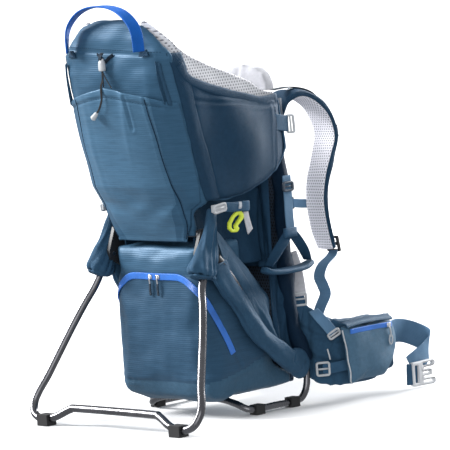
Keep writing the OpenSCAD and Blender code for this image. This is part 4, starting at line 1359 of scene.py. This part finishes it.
# ---------------------------------------------------------------- stirrups, side buckles, hook
web_up = sweep("stirrup_web_right", curve([[139, 16, 403], [139.5, 16, 370], [140, 15, 335], [140, 16, 310],
    [139, 16, 302]], 6), flat(20, 2.4), M["webblue"], (0, 1, 0))
fan = [sweep("sf%d" % k, curve(line, 6), flat(18, 2.4), M["navy"],
    [(0, 1, 0), (0.5, 0.9, 0), (1, 0.1, 0)]) for k, line in enumerate(([[139, 14, 306], [139, -2, 290],
    [139, -26, 268], [139, -42, 252]], [[139, 18, 306], [139, 32, 290], [139, 46, 270], [139, 54, 252]]))]
tread = sweep("tread", curve([[139, -54, 248], [139, -44, 243], [139, -20, 240], [139, 10, 239.5],
    [139, 40, 241], [139, 61, 247]], 8), oval(34, 10, 28, 0.6), M["mid"], (1, 0, 0),
    scale=lambda t: (0.35 + 0.65 * math.sin(math.pi * min(max(t, 0.02), 0.98)) ** 0.5, 1))
keeper = sweep("keeper", [[139, 16, 312], [139, 16, 302], [139, 16, 296]], oval(30, 9, 24), M["web"],
    (0, 1, 0))
stirrup = joined("stirrup_loop_right", [web_up, tread, keeper] + fan)
pair(stirrup, "stirrup_{}", "stirrup_{}")
st_lock = frame_buckle("stirrup_lock_right", [141.5, 16, 384], [(0, 1, 0), (0, 0, 1), (1, 0, 0)], M["dark"],
    26, 18, 5)
pair(st_lock, "stirrup_{}")

edged("side_entry_buckles", M["grey"], 0.0015)
sb = frame_buckle("side_buckle_ring_right", [141.5, -151, 365.5], [(0, 1, 0.12), (0, -0.12, 1), (1, 0, 0)],
    M["grey"], 32, 16, 4)
pair(sb, "frame")
tab_web = joined("side_tab_right", [sweep("st1", curve([[138.5, -137, 366], [140.5, -122, 364],
    [140.5, -100, 363], [139, -80, 362]], 6), oval(17, 6, 20, 0.5), M["mid"], (0, 0.12, 1)), sweep("st2",
    curve([[142, -99, 363], [142.5, -92, 362.6], [142.2, -84, 362]], 4), flat(18, 2), M["web"],
    (0, 0.12, 1))])
pair(tab_web, "frame")
hang = sweep("hook_webbing", curve([[142.5, -103, 371], [143.8, -104, 366], [143.6, -105, 361],
    [141.5, -105, 358.5]], 6), flat(7, 1.4), M["webgrey"], (0, 1, 0))
add(hang, "frame")
tongue = panel("side_label_blank", lambda u, v: (138 + 2.0 * np.sin(v * 2.6),
    -94 + 12 * u - 2 * v + 9 * v * v, 353 - 40 * v + 9 * u * v), 8, 16, 1.2, M["soft"])
add(tongue, "safety_hook")
edged("safety_hook", M["lime"], 0.0018)

# Light mesh end of the back pad and its ladder lock, beside the lumbar pad.
flap = sweep("back_flap_right", curve([[104, 44, 262], [105, 52, 236], [106, 56, 205], [106, 57, 186]], 8),
    oval(30, 8, 26), M["soft"], [(0.35, 1, 0), (0.5, 0.86, 0)])
pair(flap, "frame", None)
fl = frame_buckle("back_lock_right", [110, 57, 181], [(0.45, 0.9, 0), (0, 0, 1), (0.9, -0.45, 0)],
    M["grey"], 27, 25, 5)
pair(fl, "frame")
strap_pair("back_lock_web_right", [[108, 56, 190], [110, 57, 176], [112, 60, 160], [113, 64, 140]], 8,
    flat(20, 2), M["web"], [(0.45, 0.9, 0), (0.3, 0.95, 0)], "frame")

# ---------------------------------------------------------------- hip belt
# Hip fin, from the back to its tip: across, forward, lowest and highest point.
FIN = np.array([[94.5, 57, 60, 182], [112, 63, 34, 176], [128, 74, 24, 162], [146, 95, 18, 150],
    [156, 130, 16, 146], [159, 170, 18, 146], [157, 206, 26, 144], [152, 234, 38, 138]], float)
refine(fin)
quilt = []
for f in (0.36, 0.66):
    quilt.append(curve([[r[0] + (9 if r[1] > 90 else 5), r[1] - (6 if r[1] < 90 else 0),
        r[2] + (r[3] - r[2]) * f] for r in FIN], 6))
quilt.append([[122, 60, z] for z in range(30, 166, 8)])
quilt.append([[150, 92, z] for z in range(20, 150, 8)])
groove(fin, quilt, 2.6, 4.0, 0.8)
creases(fin, 1.6, 28, 3.9)
pair(fin, "hip_{}", "hip_fin_{}")
refine(purse)
shape(purse, lambda p,
    n: np.stack([np.where(n[:, 0] > 0.2, 1, 0) * 3.5 * bump2(p[:, 1], p[:, 2], 160, 78, 45, 32),
    0 * p[:, 0], 0 * p[:, 0]], -1))
creases(purse, 2.2, 26, 6.6)
purse_tree = tree_of(purse)
groove(purse, [curve([[185, 96, 122], [187, 140, 124], [187, 200, 127]], 6)], 1.2, 3.0, 0.4)
pair(purse, "hip_{}", "hip_pocket_{}")
purse_zip = sweep("hip_zip_tape_right", on_surface([[188, 98, 121], [189, 120, 121.5], [190, 150, 122],
    [190, 180, 121.5], [190, 204, 120.5]], purse_tree, 1.0, 6), flat(9, 2.2), M["zip"], (0, -0.05, 1))
pair(purse_zip, "hip_{}")
cap = panel("hip_pocket_cap_right", lambda u, v: (170 + 17 * np.sin(v * 1.45), 92 + 116 * u - 3 * v,
    134 - 1.0 * v + 3.0 * u * (1 - u) * 4 - 5.5 * v ** 2.5), 40, 14, 2.0, M["mid"])
pair(cap, "hip_{}")
pp = on_surface([[176, 90, 124], [178, 93, 100], [178, 97, 70], [177, 102, 44], [174, 106, 30]], purse_tree,
    0.8, 6)
pair(tube("hip_pocket_piping_right", pp, 1.3, M["pipe"], 10), "hip_{}")
for side, s in (("right", 1), ("left", -1)):
    pull = joined("hip_zip_pull_" + side, [sweep("hb", [[189.5 * s, 188.3, 120], [190.6 * s, 191, 120],
        [190.6 * s, 194, 120], [189.4 * s, 196.7, 120]], oval(7.6, 3.8, 16), M["steel"], (0, 0, 1)),
        sweep("hl", curve([[191.0 * s, 192, 119], [192.3 * s, 193, 113], [192.0 * s, 194.4, 105],
        [191.6 * s, 194, 99]], 5), circle(1.5, 12), M["steel"], (0, 1, 0)), sweep("hr",
        curve([[191.6 * s, 194, 104], [191.8 * s, 198, 98], [191.6 * s, 197, 88], [191.4 * s, 193, 86],
        [191.4 * s, 190.5, 92], [191.6 * s, 192.5, 102]], 5), circle(1.2, 10), M["webgrey"], (1, 0, 0))])
    add(pull, "hip_slider_" + side, "hip_slider_" + side)

fin_lock = frame_buckle("fin_lock_right", [146, 66, 58], [(0.55, 0.83, 0), (0, 0, 1), (0.83, -0.55, 0)],
    M["grey"], 26, 26, 5)
pair(fin_lock, "hip_{}")
strap_pair("fin_top_web_right", [[128, 70, 160], [141, 68, 151], [150, 76, 136], [154, 84, 124],
    [155, 90, 116]], 6, flat(19, 2.4), M["webblue"], [(0.4, 0.9, 0.2), (0.45, 0.75, 0.5),
    (0.45, 0.75, 0.5)], "hip_{}")
top_lock = frame_buckle("fin_top_lock_right", [156, 89, 117], [(0.5, 0.72, 0.5), (0.1, 0.5, -0.8),
    (0.85, -0.45, 0.1)], M["grey"], 25, 15, 4)
pair(top_lock, "hip_{}")
fin_web = sweep("fin_web_right", curve([[145, 66, 58], [153, 78, 58], [163, 96, 60], [167, 112, 61]], 8),
    flat(19, 2.2), M["web"], (0, 0, 1))
pair(fin_web, "hip_{}")
loop = tube("fin_loop_right", curve([[152, 74, 92], [156, 72, 86], [157, 73, 79], [155, 76, 74]], 6), 1.3,
    M["pipe"], 10)
pair(loop, "hip_{}")

BELT = [[145, 238, 95], [140, 262, 98], [139, 286, 94], [147, 304, 86], [165, 311, 76], [181, 300, 66],
    [189, 280, 56], [191, 258, 46], [190, 242, 38]]
belt = sweep("belt_web_right", curve(BELT, 9), flat(42, 2.4), M["webblue"], [(0, 0.1, 1), (0, 0.25, 1)])
pair(belt, "hip_{}", "belt_webbing_{}")
strap_pair("belt_fold_right", [[193, 228, 26], [195.5, 236, 25.5], [195.5, 246, 25], [194, 250, 25]], 6,
    flat(38, 5), M["web"], (0, 0.05, 1), "hip_{}")

# Side release buckle: the trident on the right keeps its outline, with an open middle and thick edges.
edged("buckle_male", M["white"], 0.0022)
edged("buckle_female", M["white"], 0.002)

# D-ring at the foot of the brace.
ring = tube("d_ring_right", curve([[132, 20, 60], [134, 26, 54], [133, 34, 54], [131, 38, 60]], 6), 1.6,
    M["grey"], 12)
pair(ring, "frame")
